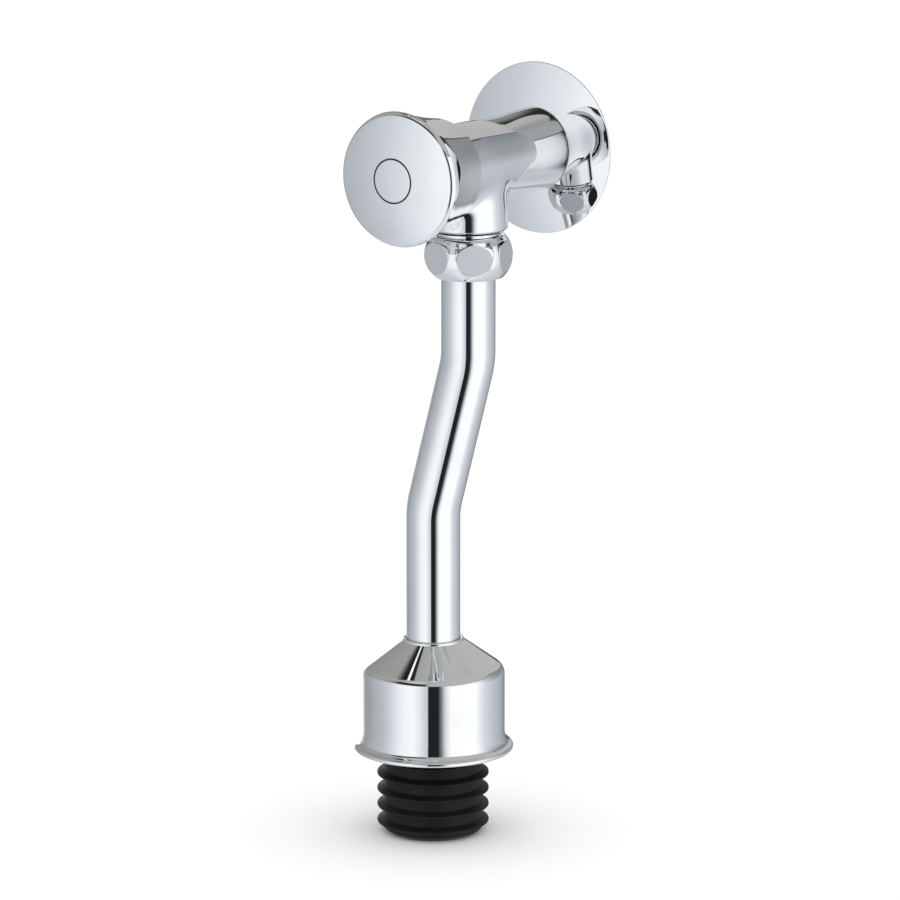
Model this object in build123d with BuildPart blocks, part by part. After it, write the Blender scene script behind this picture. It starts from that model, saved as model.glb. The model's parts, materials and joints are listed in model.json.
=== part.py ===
from math import cos, radians, sin, sqrt, tan
import os

from build123d import *

# Urinal flush valve: level inlet from the wall, button in front, outlet down through an S-bent tube.
# Millimetres. +Y points into the wall, +Z up. The origin lies on the inlet axis, in the wall's face.

# Clearances
running_gap = 0.05              # turning or sliding fit, on the radius
seat_gap = 0.02                 # between faces that rest on each other
loose_gap = 0.3                 # between curved faces of pieces that move past each other
tube_gap = 0.2                  # round the flush tube, on the radius
cut_past = 1.0                  # how far a cut runs past what it cuts

# Overall places
reach = 43.0                    # wall face to outlet axis
barrel_front = 24.0             # outlet axis to the barrel's front end
button_front = 44.7             # outlet axis to the button's apex
skirt_back = 17.6               # outlet axis to the skirt's rear edge
seat_behind = 15.0              # outlet axis to the step that the seat ring rests on
tube_offset = 12.8              # sideways step of the S bend
tube_heading = 195.0            # direction of that step about +Z, from +X

# Inlet nipple: half inch pipe thread to the wall, finer thread to the body
inlet_thread_r = 10.478
inlet_thread_length = 18.0      # beyond the wall face
inlet_thread_before = 1.3       # in front of the wall face
thread_chamfer = 1.0
nipple_bore_r = 7.0
nipple_relief_r = 9.3
nipple_collar_r = 12.4
nipple_collar = 2.0
nipple_spigot_r = 10.0
nipple_spigot = 10.0
collar_pocket_gap = 0.2

# Wall flange
flange_r = 30.0
flange_crown = 3.0
flange_sheet = 0.8
flange_foot = 1.0
flange_hole_gap = 0.5

# Strainer in the nipple's mouth
strainer_lip_r = 8.0
strainer_lip = 1.0
strainer_r = 6.4
strainer_depth = 12.0
strainer_sheet = 0.6
strainer_slots = 8
strainer_slot_width = 1.6

# Body casting
barrel_back_r = 14.7
barrel_waist_r = 13.7
barrel_waist_behind = 19.0      # outlet axis to the waist
barrel_front_r = 14.8
barrel_swell_front = 8.0        # outlet axis to where the barrel is straight again
barrel_edge = 0.5
inlet_chamber_r = 9.4
cartridge_bore_r = 11.0
bonnet_thread_r = 12.0
bonnet_thread = 6.9

# Outlet neck
neck_top_r = 12.7
neck_foot_r = 13.9
neck_foot_z = -21.6
neck_end_r = 12.3
neck_chamfer = 1.4
neck_thread_r = 11.9
neck_thread = 10.0
neck_thread_pitch = 1.5
neck_relief_r = 11.1
neck_relief = 1.2
neck_bore_r = 8.0
neck_blend = 3.0

# Seat, disc and stem
seat_ring_thickness = 3.0
seat_hole_r = 6.2
seat_lip_r = 7.4
seat_lip_width = 0.9
seat_lip = 0.7
disc_r = 8.2
disc_thickness = 2.5
retainer_r = 6.6
retainer_thickness = 1.8
stem_r = 3.0
stem_tail_r = 2.0
stem_nut_flats = 7.0
stem_nut_thickness = 2.4
stem_past_nut = 0.4

# Delay cylinder and piston
sleeve_clear_of_neck = 1.0
sleeve_floor = 1.6
sleeve_bore_r = 8.6
bleeds = 4
bleed_r = 0.9
bleed_circle_r = 5.6
channel_width = 2.8
channel_depth = 0.6
piston_r = 8.2
piston_thickness = 2.8
piston_to_bonnet = 1.5
lip_seal_r = 6.4
lip_seal_width = 1.8
lip_seal_root = 0.7
lip_seal_edge = 0.4
clip_r = 5.2
clip_thickness = 0.8
clip_groove = 0.4
clip_mouth = 2.4
spring_wire_r = 0.45
spring_coil_r = 6.0
spring_turns = 4.5

# Bonnet, its bush and seals, and the metering pin
bonnet_head_r = 13.8
bonnet_head = 4.5
bonnet_flats = 26.0
bonnet_seal_land = 0.6
bush_pocket_r = 5.0
bush_pocket_floor = 1.5
bush_lip_r = 6.2
bush_lip = 1.0
stem_seal_cord_r = 0.95
body_seal_cord_r = 0.8
meter_circle_r = 9.75
meter_pin_r = 1.25
meter_head_r = 2.1
meter_head = 1.4
meter_tip = 1.6
meter_slot = 0.6

# Button cap
button_dome_r = 71.6
button_face_r = 22.7
button_rim_r = 23.4
button_rim = 1.8                # thickness of the rolled rim, front to back
rim_undercut = 0.4
flare_root_r = 21.7
flare_root = 4.6                # these three lie behind the rim's front
flare_middle_r = 19.9
flare_middle = 11.7
flare_tail_r = 18.8
flare_tail = 17.3
skirt_back_r = 17.85
skirt_wall = 1.3
cap_face_wall = 1.8
cap_rim_wall = 2.4
cap_boss_r = 5.6
cap_boss = 8.7                  # apex to the boss's rear face
stem_socket = 3.0
insert_r = 7.4
insert_groove = 0.15
insert_pocket = 1.6
screw_head_r = 2.9
screw_head = 2.3
screw_r = 1.5
screw_length = 8.0
screw_slot = 0.8

# Union nut and what it clamps
washer_thickness = 1.5
washer_r = 11.2
tube_collar_r = 11.3
tube_collar = 1.5
slip_ring_thickness = 1.0
slip_ring_r = 11.5
nut_below_neck = 1.3
nut_lip = 1.6
nut_flats = 28.0
nut_barrel_r = 15.4
nut_top_r = 12.9
nut_bottom_r = 12.3
nut_thread_gap = 0.1
nut_flat_heading = -16.0

# Flush tube
tube_r = 9.5
tube_wall = 0.8
bend_r = 32.0
upper_bend_z = -68.0
bend_drop = 52.8
lower_straight = 107.2

# Rubber seal
seal_past_tube = 8.2
seal_height = 33.2
seal_body_r = 17.3
seal_rib_r = 19.5
seal_rib_pitch = 5.7
seal_first_rib = 7.0
seal_ribs = 5
seal_rib_crest = 1.2
seal_rib_root = 3.4
seal_edge = 1.0

# Bell cover
bell_over_seal = 3.9
bell_height = 39.9
bell_lip_r = 10.75
bell_lip_edge = 0.3
bell_collar = 1.3
bell_cone_angle = 54.4          # between the cone and the tube's axis
bell_r = 25.0
bell_shoulder_r = 7.0
bell_flare = 5.3
bell_flare_blend = 2.5
bell_rim_r = 28.0
bell_bead_r = 0.9
bell_bead_top = 60.0            # where the flare meets the bead, up from its widest place
bell_wall = 1.0
grip_ring = 2.4
grip_ring_top = 1.2

# Planes and axes that the pieces share
outlet_plane = Plane(origin=(0, -reach, 0), x_dir=(1, 0, 0), z_dir=(0, -1, 0))
outlet_axis = Axis((0, -reach, 0), (0, 0, 1))
spud_x = tube_offset * cos(radians(tube_heading))
spud_y = tube_offset * sin(radians(tube_heading)) - reach
spud_plane = Plane(origin=(spud_x, spud_y, 0), x_dir=(1, 0, 0), z_dir=(0, -1, 0))
spud_axis = Axis((spud_x, spud_y, 0), (0, 0, 1))


def dome_drop(sphere_r, r):
    """How far a sphere's surface falls behind its apex at radius r."""
    return sphere_r - sqrt(sphere_r**2 - r**2)


def level_ring(inner_r, outer_r, back_y, front_y):
    """Profile of a flat ring round the inlet axis."""
    with BuildSketch(Plane.XY) as ring:
        with Locations(((inner_r + outer_r) / 2, (back_y + front_y) / 2)):
            Rectangle(outer_r - inner_r, back_y - front_y)
    return ring.sketch


def upright_ring(inner_r, outer_r, top_z, bottom_z):
    """Profile of a flat ring round the outlet axis."""
    with BuildSketch(outlet_plane) as ring:
        with Locations(((inner_r + outer_r) / 2, (top_z + bottom_z) / 2)):
            Rectangle(outer_r - inner_r, top_z - bottom_z)
    return ring.sketch


def cord_ring(cord_r, centre_r, y):
    """Profile of a round seal that lies round the inlet axis."""
    with BuildSketch(Plane.XY) as cord:
        with Locations((centre_r, y)):
            Circle(cord_r)
    return cord.sketch


def facing_front(y):
    """Sketch plane across the inlet axis, looking to the front."""
    return Plane.XZ.offset(-y)


# Wall flange: a thin spherical dome whose foot ring stands on the wall
flange_dome_r = (flange_crown**2 + flange_r**2) / (2 * flange_crown)
flange_hole_r = inlet_thread_r + flange_hole_gap


def flange_point(r, side):
    """Point of the flange's section at radius r: side is -1 on its front and 1 on its back."""
    return (r, -flange_crown + dome_drop(flange_dome_r, r) + side * flange_sheet / 2)


with BuildPart() as wall_flange:
    with BuildSketch(Plane.XY):
        with BuildLine():
            foot_r = flange_r - flange_foot
            middle_r = (flange_hole_r + flange_r) / 2
            front = ThreePointArc(*[flange_point(r, -1) for r in (flange_hole_r, middle_r, flange_r)])
            back = ThreePointArc(*[flange_point(r, 1) for r in (flange_hole_r, middle_r, foot_r)])
            Line(front @ 0, back @ 0)
            Polyline(front @ 1, (flange_r, 0), (foot_r, 0), back @ 1)
        make_face()
    revolve(axis=Axis.Y)
wall_flange.part.label = "wall_flange"

# Inlet nipple: its collar lies in a pocket in the barrel's rear face, just clear of the flange
collar_pocket_r = nipple_collar_r + collar_pocket_gap
barrel_back_y = flange_point(collar_pocket_r, -1)[1] - loose_gap
collar_back_y = barrel_back_y - seat_gap
collar_front_y = collar_back_y - nipple_collar
spigot_front_y = collar_front_y - nipple_spigot
strainer_shelf_y = inlet_thread_length - strainer_lip
with BuildPart() as inlet_nipple:
    with BuildSketch(Plane.XY):
        with BuildLine():
            Polyline(
                (nipple_bore_r, spigot_front_y),
                (nipple_spigot_r - thread_chamfer, spigot_front_y),
                (nipple_spigot_r, spigot_front_y + thread_chamfer),
                (nipple_spigot_r, collar_front_y),
                (nipple_collar_r, collar_front_y),
                (nipple_collar_r, collar_back_y),
                (nipple_relief_r, collar_back_y),
                (nipple_relief_r, -inlet_thread_before),
                (inlet_thread_r, -inlet_thread_before),
                (inlet_thread_r, inlet_thread_length - thread_chamfer),
                (inlet_thread_r - thread_chamfer, inlet_thread_length),
                (strainer_lip_r + running_gap, inlet_thread_length),
                (strainer_lip_r + running_gap, strainer_shelf_y),
                (nipple_bore_r, strainer_shelf_y),
                close=True,
            )
        make_face()
    revolve(axis=Axis.Y)
inlet_nipple.part.label = "inlet_nipple"

# Strainer cup, hung by its lip in the nipple's mouth
strainer_floor_y = inlet_thread_length - strainer_depth
slot_length = strainer_depth - strainer_lip - 2 * strainer_slot_width
slot_middle_y = strainer_floor_y + strainer_slot_width + slot_length / 2
with BuildPart() as inlet_strainer:
    with BuildSketch(Plane.XY):
        with BuildLine():
            inner_r = strainer_r - strainer_sheet
            Polyline(
                (inner_r, inlet_thread_length),
                (strainer_lip_r, inlet_thread_length),
                (strainer_lip_r, strainer_shelf_y + seat_gap),
                (strainer_r, strainer_shelf_y + seat_gap),
                (strainer_r, strainer_floor_y),
                (0, strainer_floor_y),
                (0, strainer_floor_y + strainer_sheet),
                (inner_r, strainer_floor_y + strainer_sheet),
                close=True,
            )
        make_face()
    revolve(axis=Axis.Y)
    slot_plane = Plane(origin=(0, slot_middle_y, 0), x_dir=(0, 1, 0), z_dir=(0, 0, 1))
    for slot in range(strainer_slots):
        with BuildSketch(slot_plane.rotated((360 / strainer_slots * slot, 0, 0))):
            SlotOverall(slot_length, strainer_slot_width)
        extrude(amount=strainer_r + cut_past, mode=Mode.SUBTRACT)
inlet_strainer.part.label = "inlet_strainer"

# Valve body: barrel round the inlet axis, neck round the outlet axis, blended, threaded and bored
barrel_front_y = -reach - barrel_front
seal_pocket_y = collar_front_y - 2 * body_seal_cord_r - running_gap
spigot_hole_r = nipple_spigot_r + seat_gap
spigot_hole_y = spigot_front_y - running_gap
seat_face_y = -reach + seat_behind
bonnet_mouth_y = barrel_front_y + bonnet_thread
neck_end_z = neck_foot_z - neck_chamfer
neck_face_z = neck_end_z - neck_thread
relief_z = neck_end_z - neck_relief
with BuildPart() as valve_body:
    with BuildSketch(Plane.XY):
        with BuildLine():
            side = Spline(
                (barrel_back_r, barrel_back_y - barrel_edge),
                (barrel_waist_r, -reach + barrel_waist_behind),
                (barrel_front_r, -reach - barrel_swell_front),
                tangents=((-0.05, -1), (0, -1)),
            )
            Polyline(
                side @ 1,
                (barrel_front_r, barrel_front_y),
                (0, barrel_front_y),
                (0, barrel_back_y),
                (barrel_back_r - barrel_edge, barrel_back_y),
                side @ 0,
            )
        make_face()
    revolve(axis=Axis.Y)
    with BuildSketch(outlet_plane):
        with BuildLine():
            Polyline(
                (0, 0),
                (neck_top_r, 0),
                (neck_foot_r, neck_foot_z),
                (neck_end_r, neck_end_z),
                (0, neck_end_z),
                close=True,
            )
        make_face()
    revolve(axis=outlet_axis)
    curved = [edge for edge in valve_body.edges() if edge.geom_type not in (GeomType.LINE, GeomType.CIRCLE)]
    fillet([edge for edge in curved if neck_foot_z < edge.center().Z < -neck_blend], neck_blend)
    with BuildSketch(outlet_plane):
        with BuildLine():
            Polyline(
                (0, neck_end_z),
                (neck_relief_r, neck_end_z),
                (neck_relief_r, relief_z),
                (neck_thread_r, relief_z),
                (neck_thread_r, neck_face_z + thread_chamfer),
                (neck_thread_r - thread_chamfer, neck_face_z),
                (0, neck_face_z),
                close=True,
            )
        make_face()
    revolve(axis=outlet_axis)
    with BuildSketch(Plane.XY):
        with BuildLine():
            Polyline(
                (0, barrel_back_y),
                (collar_pocket_r, barrel_back_y),
                (collar_pocket_r, seal_pocket_y),
                (spigot_hole_r, seal_pocket_y),
                (spigot_hole_r, spigot_hole_y),
                (inlet_chamber_r, spigot_hole_y),
                (inlet_chamber_r, seat_face_y),
                (cartridge_bore_r, seat_face_y),
                (cartridge_bore_r, bonnet_mouth_y),
                (bonnet_thread_r, bonnet_mouth_y),
                (bonnet_thread_r, barrel_front_y),
                (0, barrel_front_y),
                close=True,
            )
        make_face()
    revolve(axis=Axis.Y, mode=Mode.SUBTRACT)
    with BuildSketch(Plane.XY.offset(neck_face_z)):
        with Locations((0, -reach)):
            Circle(neck_bore_r)
    extrude(amount=-neck_face_z, mode=Mode.SUBTRACT)
valve_body.part.label = "valve_body"

inlet_seal_r = (nipple_spigot_r + collar_pocket_r) / 2
with BuildPart() as inlet_o_ring:
    add(cord_ring(body_seal_cord_r, inlet_seal_r, (collar_front_y + seal_pocket_y) / 2))
    revolve(axis=Axis.Y)
inlet_o_ring.part.label = "inlet_o_ring"

# Valve seat, its lip turned to the inlet
seat_back_y = seat_face_y - seat_gap
seat_lip_y = seat_face_y + seat_lip
with BuildPart() as seat_ring:
    with BuildSketch(Plane.XY):
        with BuildLine():
            Polyline(
                (seat_hole_r, seat_back_y - seat_ring_thickness),
                (cartridge_bore_r - seat_gap, seat_back_y - seat_ring_thickness),
                (cartridge_bore_r - seat_gap, seat_back_y),
                (seat_lip_r, seat_back_y),
                (seat_lip_r, seat_lip_y),
                (seat_lip_r - seat_lip_width, seat_lip_y),
                (seat_hole_r, seat_back_y),
                close=True,
            )
        make_face()
    revolve(axis=Axis.Y)
seat_ring.part.label = "seat_ring"

# Rubber disc, its retainer and the nut on the stem's tail
tail_hole_r = stem_tail_r + seat_gap
disc_front_y = seat_lip_y + seat_gap
disc_back_y = disc_front_y + disc_thickness
retainer_back_y = disc_back_y + retainer_thickness
stem_back_y = retainer_back_y + stem_nut_thickness + stem_past_nut
with BuildPart() as valve_disc:
    add(level_ring(tail_hole_r, disc_r, disc_back_y, disc_front_y))
    revolve(axis=Axis.Y)
valve_disc.part.label = "valve_disc"

with BuildPart() as disc_retainer:
    with BuildSketch(Plane.XY):
        with BuildLine():
            Polyline(
                (tail_hole_r, disc_back_y),
                (retainer_r, disc_back_y),
                (retainer_r, (disc_back_y + retainer_back_y) / 2),
                (retainer_r - retainer_thickness / 2, retainer_back_y),
                (tail_hole_r, retainer_back_y),
                close=True,
            )
        make_face()
    revolve(axis=Axis.Y)
disc_retainer.part.label = "disc_retainer"

with BuildPart() as stem_nut:
    with BuildSketch(facing_front(retainer_back_y)):
        RegularPolygon(stem_nut_flats / 2, 6, major_radius=False)
        Circle(tail_hole_r, mode=Mode.SUBTRACT)
    extrude(amount=-stem_nut_thickness)
stem_nut.part.label = "stem_nut"

# Delay cylinder: bleeds in its floor, a metering channel along its top, a notch for the pin
sleeve_back_y = -reach - neck_bore_r - sleeve_clear_of_neck
sleeve_floor_y = sleeve_back_y - sleeve_floor
sleeve_front_y = barrel_front_y + body_seal_cord_r / 2
sleeve_r = cartridge_bore_r - running_gap
notch_back_y = sleeve_front_y + meter_tip + channel_depth
with BuildPart() as cartridge_sleeve:
    with BuildSketch(Plane.XY):
        with BuildLine():
            Polyline(
                (stem_r + loose_gap, sleeve_back_y),
                (sleeve_r, sleeve_back_y),
                (sleeve_r, sleeve_front_y),
                (sleeve_bore_r, sleeve_front_y),
                (sleeve_bore_r, sleeve_floor_y),
                (stem_r + loose_gap, sleeve_floor_y),
                close=True,
            )
        make_face()
    revolve(axis=Axis.Y)
    with BuildSketch(facing_front(sleeve_back_y)):
        with PolarLocations(bleed_circle_r, bleeds, start_angle=45):
            Circle(bleed_r)
    extrude(amount=sleeve_floor, mode=Mode.SUBTRACT)
    with BuildSketch(facing_front(sleeve_back_y)):
        with Locations((0, sleeve_r)):
            Rectangle(channel_width, 2 * channel_depth)
    extrude(amount=sleeve_back_y - sleeve_front_y, mode=Mode.SUBTRACT)
    with BuildSketch(facing_front(notch_back_y)):
        with Locations((0, (sleeve_r + sleeve_bore_r) / 2)):
            Rectangle(channel_width, 2 * (sleeve_r - sleeve_bore_r))
    extrude(amount=notch_back_y - sleeve_front_y, mode=Mode.SUBTRACT)
cartridge_sleeve.part.label = "cartridge_sleeve"

# Piston, its lip seal and its clip
bonnet_back_y = sleeve_front_y - seat_gap
piston_front_y = bonnet_back_y + piston_to_bonnet
piston_back_y = piston_front_y + piston_thickness
lip_back_y = (piston_front_y + piston_back_y + lip_seal_width) / 2
lip_front_y = lip_back_y - lip_seal_width
groove_back_y = lip_back_y + running_gap
groove_front_y = lip_front_y - running_gap
with BuildPart() as piston:
    add(level_ring(stem_r + seat_gap, piston_r, piston_back_y, piston_front_y))
    revolve(axis=Axis.Y)
    add(level_ring(lip_seal_r - running_gap, piston_r + cut_past, groove_back_y, groove_front_y))
    revolve(axis=Axis.Y, mode=Mode.SUBTRACT)
piston.part.label = "piston"

with BuildPart() as piston_lip_seal:
    with BuildSketch(Plane.XY):
        with BuildLine():
            lip_r = sleeve_bore_r - running_gap
            heel_r = lip_seal_r + lip_seal_root
            Polyline(
                (lip_seal_r, lip_back_y),
                (lip_r - lip_seal_edge, lip_back_y),
                (lip_r, lip_front_y + lip_seal_edge),
                (lip_r, lip_front_y),
                (lip_r - lip_seal_edge, lip_front_y),
                (heel_r, lip_back_y - lip_seal_root),
                (heel_r, lip_front_y),
                (lip_seal_r, lip_front_y),
                close=True,
            )
        make_face()
    revolve(axis=Axis.Y)
piston_lip_seal.part.label = "piston_lip_seal"

clip_groove_r = stem_r - clip_groove
clip_front_y = piston_front_y - clip_thickness
with BuildPart() as piston_clip:
    with BuildSketch(facing_front(piston_front_y - seat_gap)):
        Circle(clip_r)
        Circle(clip_groove_r + seat_gap, mode=Mode.SUBTRACT)
        with Locations((0, -clip_r)):
            Rectangle(clip_mouth, 2 * clip_r, mode=Mode.SUBTRACT)
    extrude(amount=clip_thickness - 2 * seat_gap)
piston_clip.part.label = "piston_clip"

# Stem from the cap's boss to the nut, bored in front for the button screw
button_apex_y = -reach - button_front
boss_back_y = button_apex_y + cap_boss
stem_front_y = boss_back_y - stem_socket
screw_seat_y = button_apex_y + insert_pocket
screw_head_y = screw_seat_y + screw_head
screw_end_y = screw_head_y + screw_length
with BuildPart() as push_stem:
    with BuildSketch(Plane.XY):
        with BuildLine():
            Polyline(
                (screw_r + seat_gap, stem_front_y),
                (stem_r, stem_front_y),
                (stem_r, clip_front_y),
                (clip_groove_r, clip_front_y),
                (clip_groove_r, piston_front_y),
                (stem_r, piston_front_y),
                (stem_r, disc_front_y),
                (stem_tail_r, disc_front_y),
                (stem_tail_r, stem_back_y),
                (0, stem_back_y),
                (0, screw_end_y + screw_r),
                (screw_r + seat_gap, screw_end_y),
                close=True,
            )
        make_face()
    revolve(axis=Axis.Y)
push_stem.part.label = "push_stem"

# Return spring between the cylinder's floor and the piston
spring_front_y = piston_back_y + seat_gap + spring_wire_r
spring_length = sleeve_floor_y - seat_gap - spring_wire_r - spring_front_y
spring_pitch = spring_length / spring_turns
print(f"return spring: {spring_pitch - 2 * spring_wire_r:.2f} mm between turns")
with BuildPart() as return_spring:
    with BuildLine() as coil:
        Helix(spring_pitch, spring_length, spring_coil_r, center=(0, spring_front_y, 0), direction=(0, 1, 0))
    with BuildSketch(Plane(origin=coil.line @ 0, z_dir=coil.line % 0)):
        Circle(spring_wire_r)
    sweep(path=coil.line, is_frenet=True)
return_spring.part.label = "return_spring"

# Bonnet: screwed plug with a hexagon head, bored for the stem's bush and the metering pin
bonnet_seat_y = barrel_front_y - 2 * body_seal_cord_r - running_gap
bonnet_front_y = bonnet_seat_y - bonnet_head
bonnet_land_r = bonnet_thread_r - bonnet_seal_land
bush_pocket_y = bonnet_back_y - bush_pocket_floor
with BuildPart() as bonnet:
    with BuildSketch(Plane.XY):
        with BuildLine():
            Polyline(
                (0, bonnet_back_y),
                (cartridge_bore_r, bonnet_back_y),
                (cartridge_bore_r, bonnet_mouth_y - loose_gap),
                (bonnet_thread_r - seat_gap, bonnet_mouth_y - loose_gap),
                (bonnet_thread_r - seat_gap, barrel_front_y),
                (bonnet_land_r, barrel_front_y),
                (bonnet_land_r, bonnet_seat_y),
                (bonnet_head_r, bonnet_seat_y),
                (bonnet_head_r, bonnet_front_y + thread_chamfer),
                (bonnet_head_r - thread_chamfer, bonnet_front_y),
                (0, bonnet_front_y),
                close=True,
            )
        make_face()
    revolve(axis=Axis.Y)
    with BuildSketch(facing_front(bonnet_seat_y)):
        Circle(bonnet_head_r + cut_past)
        RegularPolygon(bonnet_flats / 2, 6, major_radius=False, mode=Mode.SUBTRACT)
    extrude(amount=bonnet_head, mode=Mode.SUBTRACT)
    with BuildSketch(facing_front(bush_pocket_y)):
        Circle(bush_pocket_r)
    extrude(amount=bush_pocket_y - bonnet_front_y, mode=Mode.SUBTRACT)
    with BuildSketch(facing_front(bonnet_back_y)):
        Circle(stem_r + loose_gap)
        with Locations((0, meter_circle_r)):
            Circle(meter_pin_r + running_gap)
    extrude(amount=bonnet_back_y - bonnet_front_y, mode=Mode.SUBTRACT)
bonnet.part.label = "bonnet"

bonnet_seal_r = bonnet_land_r + body_seal_cord_r + seat_gap
with BuildPart() as bonnet_o_ring:
    add(cord_ring(body_seal_cord_r, bonnet_seal_r, (barrel_front_y + bonnet_seat_y) / 2))
    revolve(axis=Axis.Y)
bonnet_o_ring.part.label = "bonnet_o_ring"

bush_back_y = bush_pocket_y - 2 * stem_seal_cord_r - 2 * running_gap
with BuildPart() as stem_o_ring:
    add(cord_ring(stem_seal_cord_r, (stem_r + bush_pocket_r) / 2, (bush_pocket_y + bush_back_y) / 2))
    revolve(axis=Axis.Y)
stem_o_ring.part.label = "stem_o_ring"

with BuildPart() as guide_bush:
    with BuildSketch(Plane.XY):
        with BuildLine():
            bush_hole_r = stem_r + running_gap
            bush_body_r = bush_pocket_r - seat_gap
            lip_seat_y = bonnet_front_y - seat_gap
            Polyline(
                (bush_hole_r, bush_back_y),
                (bush_body_r, bush_back_y),
                (bush_body_r, lip_seat_y),
                (bush_lip_r, lip_seat_y),
                (bush_lip_r, lip_seat_y - bush_lip),
                (bush_hole_r, lip_seat_y - bush_lip),
                close=True,
            )
        make_face()
    revolve(axis=Axis.Y)
guide_bush.part.label = "guide_bush"

meter_front_y = bonnet_front_y - seat_gap - meter_head
with BuildPart() as metering_pin:
    with BuildSketch(Plane.XY.offset(meter_circle_r)):
        with BuildLine():
            Polyline(
                (0, sleeve_front_y + meter_tip),
                (meter_pin_r, sleeve_front_y),
                (meter_pin_r, meter_front_y + meter_head),
                (meter_head_r, meter_front_y + meter_head),
                (meter_head_r, meter_front_y),
                (0, meter_front_y),
                close=True,
            )
        make_face()
    revolve(axis=Axis((0, 0, meter_circle_r), (0, 1, 0)))
    with BuildSketch(facing_front(meter_front_y + meter_head / 2)):
        with Locations((0, meter_circle_r)):
            Rectangle(3 * meter_head_r, meter_slot)
    extrude(amount=meter_head, mode=Mode.SUBTRACT)
metering_pin.part.label = "metering_pin"

# Button cap: domed face, rolled rim and flared skirt, hollow, with a boss for the stem
skirt_back_y = -reach - skirt_back


def cap_face(sphere_r, apex_y, r):
    return (r, apex_y + dome_drop(sphere_r, r))


rim_front_y = cap_face(button_dome_r, button_apex_y, button_face_r)[1]
rim_back_y = rim_front_y + button_rim
flare_points = (
    (flare_root_r, rim_front_y + flare_root),
    (flare_middle_r, rim_front_y + flare_middle),
    (flare_tail_r, rim_front_y + flare_tail),
)
with BuildPart() as button_cap:
    with BuildSketch(Plane.XY):
        with BuildLine():
            face = ThreePointArc(
                (0, button_apex_y),
                cap_face(button_dome_r, button_apex_y, button_face_r / 2),
                (button_face_r, rim_front_y),
            )
            rim = ThreePointArc(
                (button_face_r, rim_front_y),
                (button_rim_r, (rim_front_y + rim_back_y) / 2),
                (button_rim_r - rim_undercut, rim_back_y),
            )
            flare = Spline(
                rim @ 1,
                *flare_points,
                (skirt_back_r, skirt_back_y),
                tangents=((-0.7, 1), (-0.1, 1)),
            )
            Polyline(flare @ 1, (0, skirt_back_y), (0, button_apex_y))
        make_face()
    revolve(axis=Axis.Y)
    with BuildSketch(Plane.XY):
        with BuildLine():
            inner_dome_r = button_dome_r - cap_face_wall
            inner_apex_y = button_apex_y + cap_face_wall
            inner_edge_r = button_face_r - cap_rim_wall
            inner_face = ThreePointArc(
                cap_face(inner_dome_r, inner_apex_y, cap_boss_r),
                cap_face(inner_dome_r, inner_apex_y, (cap_boss_r + inner_edge_r) / 2),
                cap_face(inner_dome_r, inner_apex_y, inner_edge_r),
            )
            inner_flare = Spline(
                inner_face @ 1,
                *[(r - skirt_wall, y) for r, y in flare_points],
                (skirt_back_r - skirt_wall, skirt_back_y),
                tangents=((0, 1), (-0.1, 1)),
            )
            Polyline(
                inner_flare @ 1,
                (0, skirt_back_y),
                (0, boss_back_y),
                (cap_boss_r, boss_back_y),
                inner_face @ 0,
            )
        make_face()
    revolve(axis=Axis.Y, mode=Mode.SUBTRACT)
    with BuildSketch(Plane.XY):
        with BuildLine():
            pocket_r = insert_r + insert_groove
            head_hole_r = screw_head_r + running_gap
            shank_hole_r = screw_r + running_gap
            socket_r = stem_r + seat_gap
            socket_y = stem_front_y - seat_gap
            Polyline(
                (0, button_apex_y - cut_past),
                (pocket_r, button_apex_y - cut_past),
                (pocket_r, screw_seat_y),
                (head_hole_r, screw_seat_y),
                (head_hole_r, screw_head_y),
                (shank_hole_r, screw_head_y),
                (shank_hole_r, socket_y),
                (socket_r, socket_y),
                (socket_r, boss_back_y),
                (0, boss_back_y),
                close=True,
            )
        make_face()
    revolve(axis=Axis.Y, mode=Mode.SUBTRACT)
button_cap.part.label = "button_cap"

with BuildPart() as button_insert:
    with BuildSketch(Plane.XY):
        with BuildLine():
            insert_face = ThreePointArc(
                (0, button_apex_y),
                cap_face(button_dome_r, button_apex_y, insert_r / 2),
                cap_face(button_dome_r, button_apex_y, insert_r),
            )
            Polyline(
                insert_face @ 1,
                (insert_r, screw_seat_y - seat_gap),
                (0, screw_seat_y - seat_gap),
                (0, button_apex_y),
            )
        make_face()
    revolve(axis=Axis.Y)
button_insert.part.label = "button_insert"

with BuildPart() as button_screw:
    with BuildSketch(Plane.XY):
        with BuildLine():
            Polyline(
                (0, screw_seat_y + seat_gap),
                (screw_head_r, screw_seat_y + seat_gap),
                (screw_head_r, screw_head_y - seat_gap),
                (screw_r, screw_head_y - seat_gap),
                (screw_r, screw_end_y),
                (0, screw_end_y),
                close=True,
            )
        make_face()
    revolve(axis=Axis.Y)
    with BuildSketch(facing_front(screw_seat_y + screw_head / 2)):
        Rectangle(3 * screw_head_r, screw_slot)
    extrude(amount=screw_head, mode=Mode.SUBTRACT)
button_screw.part.label = "button_screw"

# Union: washer, tube collar and slip ring stacked under the neck, held by the nut
washer_top_z = neck_face_z - seat_gap
washer_bottom_z = washer_top_z - washer_thickness
collar_top_z = washer_bottom_z - seat_gap
collar_bottom_z = collar_top_z - tube_collar
slip_top_z = collar_bottom_z - seat_gap
slip_bottom_z = slip_top_z - slip_ring_thickness
nut_lip_z = slip_bottom_z - seat_gap
nut_bottom_z = nut_lip_z - nut_lip
nut_top_z = neck_end_z - nut_below_neck
tube_hole_r = tube_r + tube_gap
with BuildPart() as tube_washer:
    add(upright_ring(neck_bore_r, washer_r, washer_top_z, washer_bottom_z))
    revolve(axis=outlet_axis)
tube_washer.part.label = "tube_washer"

with BuildPart() as slip_ring:
    add(upright_ring(tube_hole_r, slip_ring_r, slip_top_z, slip_bottom_z))
    revolve(axis=outlet_axis)
slip_ring.part.label = "slip_ring"

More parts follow.
